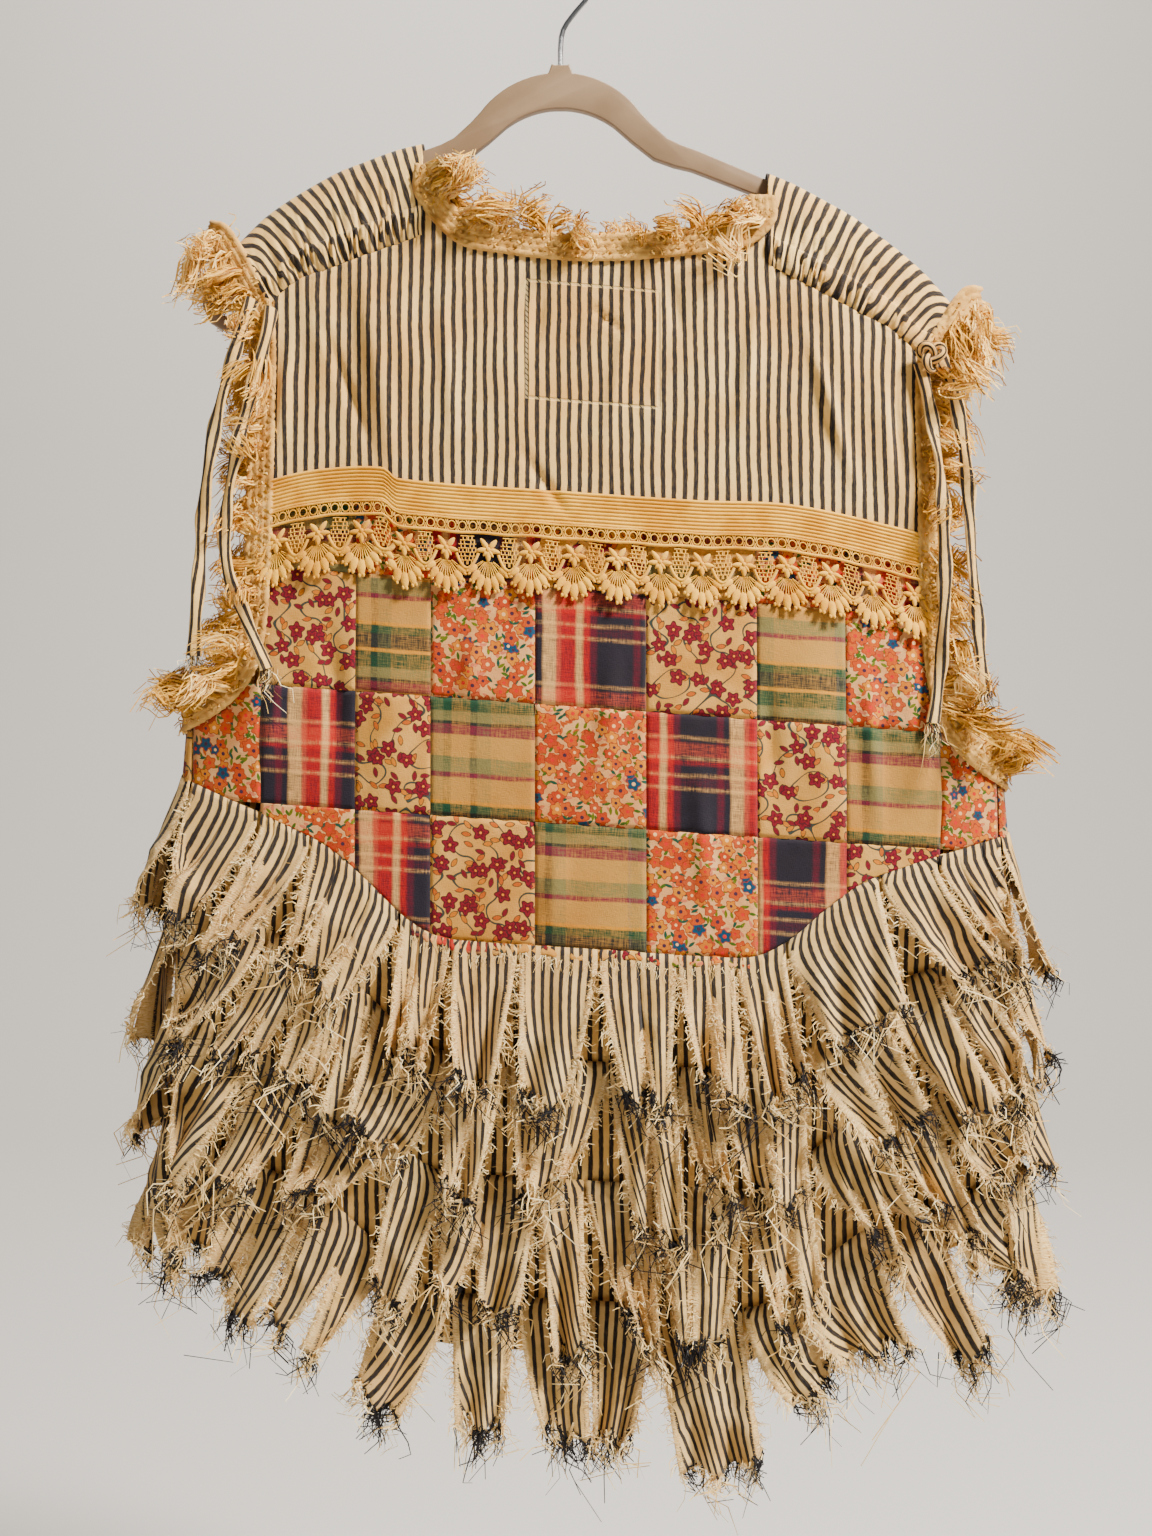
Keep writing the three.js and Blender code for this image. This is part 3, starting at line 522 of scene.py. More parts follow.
def shoulder_band(side, name, node):
    strip = np.linspace(0, CASING_AT, STRIP_ROWS + 1)
    levels = np.concatenate([strip, np.linspace(CASING_AT, 1, CASING_ROWS + 1)[1:]])
    f, g = np.meshgrid(np.linspace(0, 1, BAND_COLUMNS + 1), levels)
    down = np.clip((g - CASING_AT) / (1 - CASING_AT), 0, 1)
    swell = np.sin(math.pi * np.clip(down, 0.02, 0.96)) ** 0.5 * (down > 0)
    phase = f * PUCKERS + 0.45 * np.sin(f * 23) + 0.25 * np.sin(down * 3 + f * 40)
    pucker = swell * (2.6 * np.abs(np.sin(math.pi * phase)) ** 0.8 + 0.2)
    fine = swell * 0.7 * np.sin(f * 310 + 3 * np.sin(f * 50) + 4 * down)
    ditch = -1.0 * np.exp(-((g - CASING_AT) / 0.006) ** 2) - 0.8 * np.exp(-((down - 1) / 0.08) ** 2)
    pull = np.clip((g - GATHER_AT) / (CASING_AT - GATHER_AT), 0, 1) * (down <= 0)
    ripple = pull ** 1.5 * (1.3 * np.abs(np.sin(math.pi * phase)) - 0.3 + 0.4 * np.sin(f * 90))
    points, across = band_place(side, f if side > 0 else 1 - f, g, CLOTH + pucker + fine + ditch + ripple)
    slip = 0.0012 * np.sin(phase * 2 * math.pi + 1) * swell + 0.0006 * pull * np.sin(phase * 2 * math.pi)
    cut = np.stack([side * across + slip, g * 0.09], axis=-1)
    piece = mesh_piece(name, points, grid_faces(BAND_COLUMNS, STRIP_ROWS + CASING_ROWS), ticking, cut)
    thicken(piece, TICKING_WALL)
    register(piece, "ticking", node)


shoulder_band(-1, "band_left_cloth", "band_left")
shoulder_band(1, "band_right_cloth", "band_right")

# Patchwork
# Squares cut from two printed cottons and two woven plaids, sewn in a running order of four
# so that the colours step one place at each row, with a narrow seam sunk between them.
ARMHOLE = np.array([
    (256, -489), (248, -486), (234, -479), (218, -467), (206, -450), (200, -425), (197, -380),
    (196, -330), (195, -280), (196, -240),
])
PATCH_COLUMNS = [-244, -200, -143, -98, -36, 30, 96, 149, 206, 244]
PATCH_ROWS = [-338, -389, -459, -529]
SKIRT_SEAM = np.array([
    (0, -602), (70, -602), (95, -600), (115, -589), (135, -571), (158, -553), (180, -543),
    (215, -530), (262, -516), (330, -514), (560, -528),
])
COLUMNS_OF_ROW = {0: (1, 7), 1: (1, 7), 2: (0, 8), 3: (1, 7)}
PATCH_STEP = 2.6
PATCH_WALL = 0.0007
PATCH_AGED = 0.35
PRINT_REPEAT = 62
PETALS = 5
FULL_TURN = 6.28


def skirt_seam(s):
    return read(SKIRT_SEAM, np.abs(s))


def armhole_s(z):
    return np.where(z > -440, np.interp(z, ARMHOLE[:, 1], ARMHOLE[:, 0]), 206.0)


def armhole_z(s):
    rising = ARMHOLE[:6][::-1]
    return np.where(np.abs(s) > 206, read(rising, np.abs(s)), -440.0)


def scattered(place, cell, shift, randomness):
    moved = vector("ADD", 0, place, i1=(shift, shift * 0.7, 0))
    cells = put(place.tree, "ShaderNodeTexVoronoi", {"voronoi_dimensions": "2D"}, Vector=moved, Scale=1 / cell,
                Randomness=randomness)
    chance = put(place.tree, "ShaderNodeSeparateColor", Color=Amount(cells.outputs["Color"]))
    away = vector("SUBTRACT", 0, moved, i1=Amount(cells.outputs["Position"]))
    return away, [Amount(chance.outputs[k]) for k in range(3)]


def petals(away, spin, size, depth):
    x, y = axes_of(away)
    turned = calc("ARCTAN2", y, x) * PETALS + spin * FULL_TURN
    edge = calc("MULTIPLY_ADD", calc("COSINE", turned), depth * size, size * (1 - depth))
    return edge - vector("LENGTH", "Value", away)


def leaf(away, spin, long, wide):
    x, y = axes_of(away)
    angle = spin * FULL_TURN
    c, s = calc("COSINE", angle), calc("SINE", angle)
    along, side = x * c + y * s, y * c - x * s
    return 1.0 - (calc("POWER", abs(along / long), 1.6) + calc("POWER", abs(side / wide), 1.6))


def ramp(value, stops, how="LINEAR"):
    node = put(value.tree, "ShaderNodeValToRGB", Fac=value)
    node.color_ramp.interpolation = how
    marks = node.color_ramp.elements
    while len(marks) < len(stops):
        marks.new(0.5)
    for k, (position, colour) in enumerate(stops):
        marks[k].position = position
        marks[k].color = colour
    return Amount(node.outputs["Color"])


def choose(chance, colours):
    return ramp(chance, [(k / len(colours), colour) for k, colour in enumerate(colours)], "CONSTANT")


def inked(colour, wanted, *layers):
    for edge, low, high, ink in layers:
        colour = blend_colour(wanted * soft_step(edge, low, high), colour, ink)
    return colour


def vine_print(place):
    colour = mottled(stretched(place, 0.04, 0.04), dye(218, 182, 126), dye(196, 156, 98))
    stem = 0.017 - abs(stretched(place, 0.052, 0.052, 0.0) - 0.5)
    colour = blend_colour(soft_step(stem, 0.0, 0.005), colour, dye(58, 68, 66))
    for cell, shift in ((8.5, 3.0), (10.5, 41.0)):
        away, chance = scattered(place, cell, shift, 0.95)
        edge = leaf(away, chance[0], 3.0, 1.5)
        leaves = choose(chance[2], [dye(184, 108, 0), dye(196, 132, 10), dye(112, 28, 42)])
        colour = inked(colour, calc("LESS_THAN", chance[1], 0.62), (edge, -0.25, 0.0, dye(60, 58, 48)),
                       (edge, 0.18, 0.35, leaves))
    for cell, shift, size in ((17.5, 12.0, 4.7), (25.0, 77.0, 4.2)):
        away, chance = scattered(place, cell, shift, 0.7)
        edge = petals(away, chance[0], size, 0.2)
        ring = petals(away, chance[0], size * 0.62, 0.25)
        eye = size * 0.2 - vector("LENGTH", "Value", away)
        colour = inked(colour, calc("LESS_THAN", chance[1], 0.85), (edge, -0.9, -0.5, dye(70, 24, 34)),
                       (edge, 0.0, 0.3, dye(120, 30, 46)), (ring, 0.0, 0.3, dye(92, 18, 34)),
                       (eye, 0.0, 0.3, dye(228, 160, 90)))
    return colour


def orange_print(place):
    colour = mottled(stretched(place, 0.05, 0.05), dye(224, 188, 146), dye(208, 164, 122))
    shades = [dye(70, 96, 40), dye(36, 76, 64), dye(196, 126, 104), dye(172, 92, 30), dye(100, 112, 44)]
    for cell, shift in ((4.6, 5.0), (5.8, 23.0)):
        away, chance = scattered(place, cell, shift, 1.0)
        colour = inked(colour, calc("LESS_THAN", chance[1], 0.8),
                       (leaf(away, chance[0], 2.6, 1.0), 0.0, 0.2, choose(chance[2], shades)))
    tones = [dye(182, 90, 0), dye(196, 128, 4), dye(172, 76, 2), dye(12, 68, 98), dye(188, 100, 0),
             dye(176, 92, 66), dye(202, 140, 14), dye(180, 86, 0)]
    eyes = [dye(60, 40, 60), dye(196, 60, 30), dye(240, 205, 160)]
    for cell, shift, size in ((9.5, 9.0, 3.5), (11.0, 57.0, 4.3)):
        away, chance = scattered(place, cell, shift, 0.85)
        edge = petals(away, chance[0], size, 0.16)
        eye = size * 0.3 - vector("LENGTH", "Value", away)
        colour = inked(colour, calc("LESS_THAN", chance[1], 0.8), (edge, -0.5, -0.25, dye(140, 62, 14)),
                       (edge, 0.0, 0.3, choose(chance[2], tones)), (eye, 0.0, 0.3, choose(chance[0], eyes)))
    return colour


def banded(value, bands, soft):
    period = bands[-1][1]
    stops = []
    for start, end, colour in bands:
        stops += [(start / period + soft, colour), (end / period - soft, colour)]
    return ramp(calc("FRACT", value / period), stops)


def woven_plaid(place, warp, weft, bias, soft):
    x, y = axes_of(place)
    warp = banded(x + stretched(place, 0.04, 0.02) * 3.0, warp, soft)
    weft = banded(y + stretched(place, 0.02, 0.04) * 3.0, weft, soft)
    slub = stretched(place, 1.6, 0.12, 3.0) - stretched(place, 0.12, 1.6, 3.0)
    return blend_colour(bias + slub * 1.4, warp, weft)


def patch_cotton(name, drawn, *pattern):
    finish, tree, surface = new_finish(name, COTTON_ROUGH)
    place = cut_place(tree)
    finish_cloth(surface, drawn(place, *pattern), place, aged=PATCH_AGED)
    return finish


NAVY, RED, CREAM = dye(32, 30, 42), dye(166, 24, 34), dye(216, 182, 136)
WINE, ROSE = dye(84, 28, 44), dye(186, 92, 76)
TAN, SAGE, GREEN, MAUVE = dye(186, 150, 98), dye(126, 124, 90), dye(34, 68, 50), dye(112, 42, 62)
COAL, GOLD, GREY = dye(38, 42, 40), dye(206, 154, 54), dye(136, 128, 108)
RED_WARP = [(0, 15, NAVY), (15, 19, WINE), (19, 23, NAVY), (23, 31, CREAM), (31, 34, ROSE), (34, 43, RED),
            (43, 47, CREAM), (47, 51, RED), (51, 55, WINE), (55, 62, NAVY)]
RED_WEFT = [(0, 12, NAVY), (12, 14, CREAM), (14, 20, WINE), (20, 22, CREAM), (22, 27, NAVY), (27, 30, RED),
            (30, 32, CREAM), (32, 40, ROSE), (40, 42, NAVY), (42, 44, CREAM), (44, 58, NAVY)]
GREEN_WARP = [(0, 19, TAN), (19, 21, GREY), (21, 30, SAGE), (30, 35, GREEN), (35, 46, TAN), (46, 50, COAL),
              (50, 58, SAGE), (58, 76, TAN)]
GREEN_WEFT = [(0, 13, TAN), (13, 19, MAUVE), (19, 21, COAL), (21, 27, SAGE), (27, 36, GREEN), (36, 38, GOLD),
              (38, 47, COAL), (47, 52, GREEN), (52, 54, GOLD), (54, 68, TAN), (68, 71, MAUVE), (71, 80, SAGE)]
PATCH_FINISH = {
    "vine_floral": patch_cotton("vine_printed_cotton", vine_print),
    "green_plaid": patch_cotton("green_plaid_cotton", woven_plaid, GREEN_WARP, GREEN_WEFT, 0.74, 0.004),
    "orange_floral": patch_cotton("orange_printed_cotton", orange_print),
    "red_plaid": patch_cotton("red_plaid_cotton", woven_plaid, RED_WARP, RED_WEFT, 0.3, 0.014),
}
PATCH_ORDER = list(PATCH_FINISH)


def uneven(a, b):
    value = np.sin(np.asarray(a) * 12.9898 + np.asarray(b) * 78.233) * 43758.5453
    return value - np.floor(value)


def patch_uv(left, top, column, row):
    def cut(f, g, s, z):
        slip = np.array([uneven(column, row), uneven(row, column + 9)]) * PRINT_REPEAT
        return (np.stack([s - left, z - top], axis=-1) + slip) / 1000
    return cut


def area_of(at):
    f, g = np.meshgrid(np.linspace(0, 1, 13), np.linspace(0, 1, 13))
    s, z = at(f, g)
    wide = np.diff(s, axis=1)[:-1]
    tall = -np.diff(z, axis=0)[:, :-1]
    return float(np.abs(wide * tall).sum()) / 1e6, float(np.ptp(s)) / 1000, float(np.ptp(z)) / 1000


def hang(piece, at, slot, node):
    register(piece, slot, node)
    area, wide, tall = area_of(at)


def patch(column, row):
    left, right = PATCH_COLUMNS[column], PATCH_COLUMNS[column + 1]
    top = PATCH_ROWS[row]
    low = -700 if row == 3 else PATCH_ROWS[row + 1]

    def at(f, g):
        s = left + (right - left) * f
        upper = np.minimum(top, armhole_z(s) - EDGE_GAP) if row == 2 else top
        lower = np.maximum(low, skirt_seam(s))
        z = upper + (lower - upper) * g
        if row < 2:
            s = np.sign(s) * np.minimum(np.abs(s), armhole_s(z))
        return s, z

    def lift(f, g):
        edge = np.minimum(np.minimum(f, 1 - f) * (right - left), np.minimum(g, 1 - g) * 70)
        pull = 0.5 * np.sin(f * 21 + column * 5) * np.exp(-((g - 0.02) / 0.05) ** 2)
        return CLOTH - 0.55 * np.exp(-((edge / 0.9) ** 2)) + pull

    columns = max(int((right - left) / PATCH_STEP), 12)
    fabric = PATCH_ORDER[(column - row + 8) % 4]
    piece = cloth_panel(f"patch_cloth_r{row}_c{column}", columns, 22, at, PATCH_FINISH[fabric], lift, PATCH_WALL,
                        patch_uv(left, top, column, row))
    node = "patch_strip_top" if row == 0 else f"patch_r{row}_c{column}"
    hang(piece, at, fabric, node)


for row, (first, last) in COLUMNS_OF_ROW.items():
    for column in range(first, last + 1):
        patch(column, row)


# Skirt under the tiers
# Plain ticking panels, cut to the curved edge of the patchwork, that carry the four tiers.
SIDE_S = 244.0
FRONT_EDGE = 18.0
SKIRT_LENGTH = 238.0
HIP_Z = -650.0


def span_at(part, z):
    front = half_round(z) - FRONT_EDGE
    side = np.full_like(front, SIDE_S)
    return {"back": (-side, side), "right": (side + 1, front), "left": (-front, -side - 1)}[part]


for part, columns in (("back", 84), ("left", 40), ("right", 40)):
    def skirt_at(f, g):
        low, high = span_at(part, np.full_like(f, HIP_Z))
        z = skirt_seam(low + (high - low) * f) + 0.5 - SKIRT_LENGTH * g
        low, high = span_at(part, z)
        return low + (high - low) * f, z

    skirt = cloth_panel(f"skirt_{part}_cloth", columns, 22, skirt_at, ticking,
                        lambda f, g: -3 * SEAM - 3 * g * (0.5 - 0.5 * np.cos(f * columns / 4 * math.pi)))
    hang(skirt, skirt_at, "ticking", f"skirt_{part}")


# Tiers of torn tabs
# Four rows of ticking torn along its length into tabs about 46 mm wide, gathered at the top
# into a seam. The tabs split again into strips that lean and curl their own way, the torn
# sides shed cream weft threads and the feet hang in tangles of cream and charcoal warp ends.
TIER_DROPS = [0, 66, 136, 206]
TAB_LENGTH = 86.0
TAB_HEADER = 0.1
TAB_CURLS = [(1, 0, 1), (0.2, 1, 0), (1, 0.4, 0), (0, 0.5, 1)]
TABS = {"back": 12, "right": 6, "left": 6}
TAB_OFFSET = {"back": 0, "right": 40, "left": 80}
TAB_DOWN = 20
TAB_CUT = 46.0
OFF_MOST = 23.0
TORN_WALL = 0.0006
DARK_TONE = 0.1
PALE_TONE = 0.42
CREAM_THREADS = [dye(200, 166, 116), dye(232, 204, 156), dye(250, 232, 194)]


def tab_shape(tier, tab):
    def pick(k):
        return float(uneven(tier * 31 + tab, k))

    count = 1 + int(2.6 * pick(10))
    bounds = [k / count + (0 if k in (0, count) else 0.34 * (pick(10 + k) - 0.5) / count)
              for k in range(count + 1)]
    splits = [TAB_HEADER] + [0.28 + 0.45 * pick(14 + k) for k in range(1, count)] + [TAB_HEADER]
    strips = []
    for k in range(count):
        outer_left = 0.04 + 0.24 * pick(2) ** 1.3 if k == 0 else 0.03 + 0.06 * pick(20 + k)
        outer_right = 0.04 + 0.24 * pick(3) ** 1.3 if k == count - 1 else 0.03 + 0.06 * pick(24 + k)
        strips.append({
            "left": bounds[k], "right": bounds[k + 1], "split_left": splits[k], "split_right": splits[k + 1],
            "in_left": outer_left, "in_right": outer_right, "lean": 0.22 * (pick(28 + k) - 0.5),
            "length": 0.8 + 0.3 * pick(32 + k), "roll": 11.0 * pick(36 + k) ** 1.3,
            "twist": 24 * (pick(40 + k) - 0.5),
        })
    return {
        "start": 0.5 * (pick(46) - 0.5), "next": 0.5 * (float(uneven(tier * 31 + tab + 1, 46)) - 0.5),
        "length": TAB_LENGTH * (0.84 + 0.2 * pick(1)), "slant": 14 * (pick(4) - 0.5),
        "curl": TAB_CURLS[int(4 * pick(5))], "phase": FULL_TURN * pick(6), "pleats": 1.2 + 1.8 * pick(7),
        "grain": 0.5 * (pick(8) - 0.5), "hitch": 0.25 + 0.5 * pick(9), "slope": 0.9 * (pick(44) - 0.5),
        "sway": 0.5 * (pick(45) - 0.5), "strips": strips,
    }


def opening(g, split):
    return np.clip((g - split) / (1 - split), 0, 1) ** 1.15


def tab_surface(tier, part, tab, shape, strip, q, g):
    tabs = TABS[part]
    open_left = opening(g, strip["split_left"])
    open_right = opening(g, strip["split_right"])
    left = strip["left"] + open_left * (strip["in_left"] + strip["lean"])
    right = strip["right"] + open_right * (strip["lean"] - strip["in_right"])
    f = left + (right - left) * q
    loose = open_left * (1 - q) + open_right * q
    fall = np.clip((g - TAB_HEADER) / (1 - TAB_HEADER), 0, 1)
    start = tab + (shape["start"] if tab > 0 else 0)
    end = tab + 0.96 + (shape["next"] if tab < tabs - 1 else 0)
    outward = 0.75 * (2 * tab / (tabs - 1) - 1) if part == "back" else 0
    at = (start + (end - start) * f + (shape["sway"] + outward) * fall**1.2) / (tabs - 0.04)
    low, high = span_at(part, np.full_like(f, HIP_Z - TIER_DROPS[tier]))
    tip = shape["slant"] * (1 - 2 * f) + 6 * (1 - np.abs(2 * q - 1)) + 2.5 * np.sin(f * 17 + shape["phase"])
    down = g * shape["length"] * (1 + (strip["length"] - 1) * loose) + tip * fall
    z = skirt_seam(low + (high - low) * at) + 0.4 - TIER_DROPS[tier] - down
    low, high = span_at(part, z)
    s = low + (high - low) * np.clip(at, 0, 1)
    curl_left, curl_middle, curl_right = shape["curl"]
    curl = np.where(f < 0.5, curl_left + (curl_middle - curl_left) * 2 * f,
                    curl_middle + (curl_right - curl_middle) * (2 * f - 1))
    share = np.maximum(down, 0) / 85
    pleat = np.sin(f * shape["pleats"] * math.pi * 2 + shape["phase"] + 2.2 * g)
    hitch = 4.0 * np.exp(-((g - shape["hitch"] - shape["slope"] * (f - 0.5)) / 0.07) ** 2)
    gather = 1.5 * np.sin(f * 46 + shape["phase"]) * np.exp(-g * 10)
    rolled = strip["roll"] * (2 * q - 1) ** 2 * loose + strip["twist"] * (q - 0.5) * loose
    off = (12 * share**0.8 + 8 * share * curl + (1.0 + 4.4 * fall) * np.clip(share * 3, 0, 1) * pleat
           + gather + hitch * fall + np.maximum(rolled, -4 * share) + 1.2)
    off = np.minimum(off, OFF_MOST + 0.15 * (off - OFF_MOST))
    tab_wide = TAB_CUT * (end - start)
    f_top = strip["left"] + (strip["right"] - strip["left"]) * q
    bow = 2.2 * np.sin(3.4 * g + shape["phase"]) * fall
    sewn = 0.5 * f_top + 0.5 * (f - strip["lean"] * loose)
    cut_x = bow + sewn * tab_wide + shape["grain"] * down * fall
    cut = (np.stack([cut_x, -down], axis=-1) + np.array([tab * 53.0 + tier * 17, tier * 90.0])) / 1000
    width = (right - left) * tab_wide
    sound_left = 12 * np.clip((strip["split_left"] - g) * 9, 0, 1)
    sound_right = 12 * np.clip((strip["split_right"] - g) * 9, 0, 1)
    torn = np.minimum(q * width + sound_left, (1 - q) * width + sound_right)
    return s, z, off, cut, torn


def fray_finish(name, pale, dark):
    finish, tree, surface = new_finish(name, 0.95, Sheen_Weight=0.2, Specular_IOR_Level=0.15)
    speck = noise(object_place(tree), 900.0, 2.0)
    stops = [(0.0, dark), (0.3, dark), (PALE_TONE, pale[0]), (0.75, pale[1]), (1.0, pale[2])]
    feed(surface, Base_Color=ramp(tone_of(tree) + (speck - 0.5) * 0.12, stops))
    return finish


# No loose thread goes further than the room that the solids leave for it
ROOM_LOW = np.array([-0.2815, -0.0785, -0.9405])
ROOM_HIGH = np.array([0.3255, 0.0775, -0.06])


def unit(directions):
    return directions / np.maximum(np.linalg.norm(directions, axis=-1, keepdims=True), 1e-9)


def ring_faces(rings, around):
    base = np.arange(rings - 1)[:, None] * around
    k = np.arange(around)[None, :]
    n = (k + 1) % around
    return np.stack([base + k, base + n, base + n + around, base + k + around], axis=-1).reshape(-1, 4)


def strands(name, roots, aims, lengths, width, droop, curl, steps, finish, tones, seed, locks=None):
    chance = np.random.default_rng(seed)
    count = len(roots)
    locks = np.arange(count) // 5 if locks is None else locks
    shared = locks.max() + 1
    t = np.linspace(0, 1, steps + 1)[None, :, None]
    aims = unit(aims)
    sideways = unit(np.cross(aims, np.array([0, 0.35, 1.0])))
    upward = np.cross(sideways, aims)
    reach = lengths[:, None, None]
    phase = chance.uniform(0, 6.28, (shared, 2, 1, 1))[locks] + chance.normal(0, 0.35, (count, 2, 1, 1))
    turns = chance.uniform(0.4, 1.7, (shared, 2, 1, 1))[locks] * chance.uniform(0.9, 1.1, (count, 2, 1, 1))
    size = chance.uniform(0.4, 1.0, (shared, 1, 1))[locks] * np.broadcast_to(curl, count)[:, None, None]
    path = roots[:, None, :] + aims[:, None, :] * reach * t
    path = path + sideways[:, None, :] * reach * size * t * np.sin(turns[:, 0] * FULL_TURN * t + phase[:, 0])
    path = path + upward[:, None, :] * reach * size * t * np.cos(turns[:, 1] * FULL_TURN * t + phase[:, 1])
    path[:, :, 2] -= lengths[:, None] * droop * t[:, :, 0] ** 2
    path = np.clip(path, ROOM_LOW, ROOM_HIGH)
    ahead = unit(np.gradient(path, axis=1))
    flat = unit(np.cross(ahead, chance.normal(0, 1, (count, 1, 3)) * 0.5 + np.array([0, 1.0, 0])))
    half = np.broadcast_to(width, count)[:, None, None] * (1 - 0.5 * t) * flat
    points = np.stack([path + half, path - half], axis=2)
    low = (np.arange(count)[:, None] * (steps + 1) + np.arange(steps)[None, :]) * 2
    quads = np.stack([low, low + 1, low + 3, low + 2], axis=-1).reshape(-1, 4)
    tone = np.broadcast_to(tones[:, None, None], points.shape[:3])
    return mesh_piece(name, points, quads, finish, tone=tone)


fray = fray_finish("frayed_ticking_threads", CREAM_THREADS, dye(28, 25, 26))
# Ticking for the torn tabs, its ground painted darker as shade from the tabs' own shadow.
torn_ticking = ticking_finish("torn_ticking_cotton", torn=True)
SIDE_THREADS = 92
FOOT_THREADS = 120
STRAY_THREADS = 2
LOCK = 6


def edge_threads(place, q, outward, split, count, chance):
    g = np.sort(chance.uniform(split + 0.03, 1.0, count))
    here = place(np.full(count, q), g)
    aim = unit(here - place(np.full(count, q - 0.12 * outward), g)) + chance.normal(0, 0.38, (count, 3))
    return here - 0.0022 * aim, aim


def foot_threads(place, count, chance):
    q = np.sort(chance.uniform(0, 1, count))
    here = place(q, np.ones(count))
    aim = unit(here - place(q, np.full(count, 0.92)))
    aim = aim + (chance.normal(0, 0.5, (count, 3))[np.arange(count) // LOCK] + chance.normal(0, 0.16, (count, 3)))
    return here - 0.003 * aim, aim


def tier(number, part):
    chance = np.random.default_rng(1000 + number * 10 + len(part))
    cloth, threads, start = [], [], 0

    def shed(found, size, tone, thick, curl):
        threads.append((*found, size, tone, np.full(len(size), thick), np.full(len(size), curl)))

    for tab in range(TABS[part]):
        shape = tab_shape(number, tab + TAB_OFFSET[part])
        for strip in shape["strips"]:
            wide = strip["right"] - strip["left"]
            across = max(6, round(15 * wide))
            q, g = np.meshgrid(np.linspace(0, 1, across + 1), np.linspace(0, 1, TAB_DOWN + 1))
            s, z, off, cut, torn = tab_surface(number, part, tab, shape, strip, q, g)
            surface = body(s, z, off, creased=False)
            built = np.linalg.norm(np.diff(surface, axis=1), axis=2).sum(axis=1)
            flat = np.abs(cut[:, -1, 0] - cut[:, 0, 0])
            middle = cut[:, across // 2, 0][:, None]
            cut[..., 0] = middle + (cut[..., 0] - middle) * np.maximum(1, built / flat)[:, None]
            cloth.append((surface.reshape(-1, 3), grid_faces(across, TAB_DOWN) + start, cut.reshape(-1, 2),
                          torn.reshape(-1)))
            start += (across + 1) * (TAB_DOWN + 1)

            def place(q, g):
                s, z, off, _, _ = tab_surface(number, part, tab, shape, strip, q, g)
                return body(s, z, off - 0.3, creased=False)

            for side, outward, split in ((0.0, -1, strip["split_left"]), (1.0, 1, strip["split_right"])):
                count = int(SIDE_THREADS * (1 - split) * (1.0 if part == "back" else 0.75))
                shed(edge_threads(place, side, outward, split, count, chance),
                     chance.gamma(3.0, 0.0015, count) + 0.0022, chance.uniform(PALE_TONE, 1.0, count), 0.00036, 0.36)
            count = int(FOOT_THREADS * wide * (1.0 if part == "back" else 0.8))
            dark = (chance.uniform(0, 1, count) < 0.5)[np.arange(count) // LOCK * 5]
            shed(foot_threads(place, count, chance), chance.gamma(2.4, 0.0036, count) + 0.0035,
                 np.where(dark, DARK_TONE, chance.uniform(PALE_TONE, 1, count)), 0.0005, 0.7)
        shed(foot_threads(place, STRAY_THREADS, chance), chance.uniform(0.014, 0.03, STRAY_THREADS),
             np.where(chance.uniform(0, 1, STRAY_THREADS) < 0.6, DARK_TONE, 0.8), 0.0003, 0.3)
    name = f"tier_{number + 1}_{part}"
    points, quads, cuts, torn = map(np.concatenate, zip(*cloth))
    piece = mesh_piece(f"{name}_cloth", points, quads, torn_ticking, cuts, torn)
    thicken(piece, TORN_WALL)
    register(piece, "ticking", name)
    roots, aims, lengths, tones, widths, curls = map(np.concatenate, zip(*threads))
    edge = strands(f"{name}_fray", roots, aims, lengths, widths, 0.4, curls, 4, fray, tones,
                   50 + number * 3 + len(part), np.arange(len(roots)) // LOCK)
    register(edge, "ticking")
    wide = TABS[part] * TAB_CUT / 1000


for number in range(len(TIER_DROPS)):
    for part in TABS:
        tier(number, part)

# Raw edge of the patchwork
# The patchwork's own seam allowance, left showing along the foot of the back and frayed.
RAW_EDGES = [
    (-109, -86, "red_plaid"), (-86, -62, "red_plaid"), (-62, -16, "vine_floral"), (-16, 34, "vine_floral"),
    (34, 68, "orange_floral"), (68, 97, "orange_floral"),
]
for k, (low_s, high_s, fabric) in enumerate(RAW_EDGES):
    def raw_at(f, g):
        s = low_s + (high_s - low_s) * f
        deep = 10.5 + 1.6 * np.sin(s * 0.09 + k) + 0.6 * np.sin(s * 0.5)
        return s, skirt_seam(s) + 4.5 - deep * g

    raw = cloth_panel(f"raw_edge_{k}", 24, 12, raw_at, PATCH_FINISH[fabric],
                      lambda f, g: 0.1 + (2.6 + 0.5 * np.sin(f * 19)) * np.clip((g - 0.3) / 0.5, 0, 1), TORN_WALL)
    register(raw, fabric)
    chance = np.random.default_rng(300 + k)
    count = int((high_s - low_s) * 3)
    here = body(*raw_at(chance.uniform(0, 1, count), np.ones(count)), 2.6)
    aim = np.array([0, -0.35, -1.0]) + chance.normal(0, 0.4, (count, 3))
    tint = (chance.choice([DARK_TONE, 0.5, 0.9], count) if fabric == "red_plaid"
            else chance.uniform(PALE_TONE, 1, count))
    threads = strands(f"raw_edge_fray_{k}", here, aim, chance.gamma(2.5, 0.0012, count) + 0.001, 0.0002, 0.3,
                      0.4, 3, fray, tint, 320 + k)
    register(threads, fabric)

# Lace trim
# Cotton lace sewn along the yoke's lower edge: a ribbed band, a row of rings between two
# cords, a bricked net with five-petalled flowers, scallop cords, and a fan of shells below.
LACE_TOP = np.array([
    (-206, -341), (-170, -330), (-127, -325), (-118, -331), (-20, -331), (60, -330), (120, -328), (206, -340),
])
LACE_REPEATS = 16
LACE_HALF = 203.0
LACE_WIDE = 2 * LACE_HALF / LACE_REPEATS
RIB_PITCH = 2.25


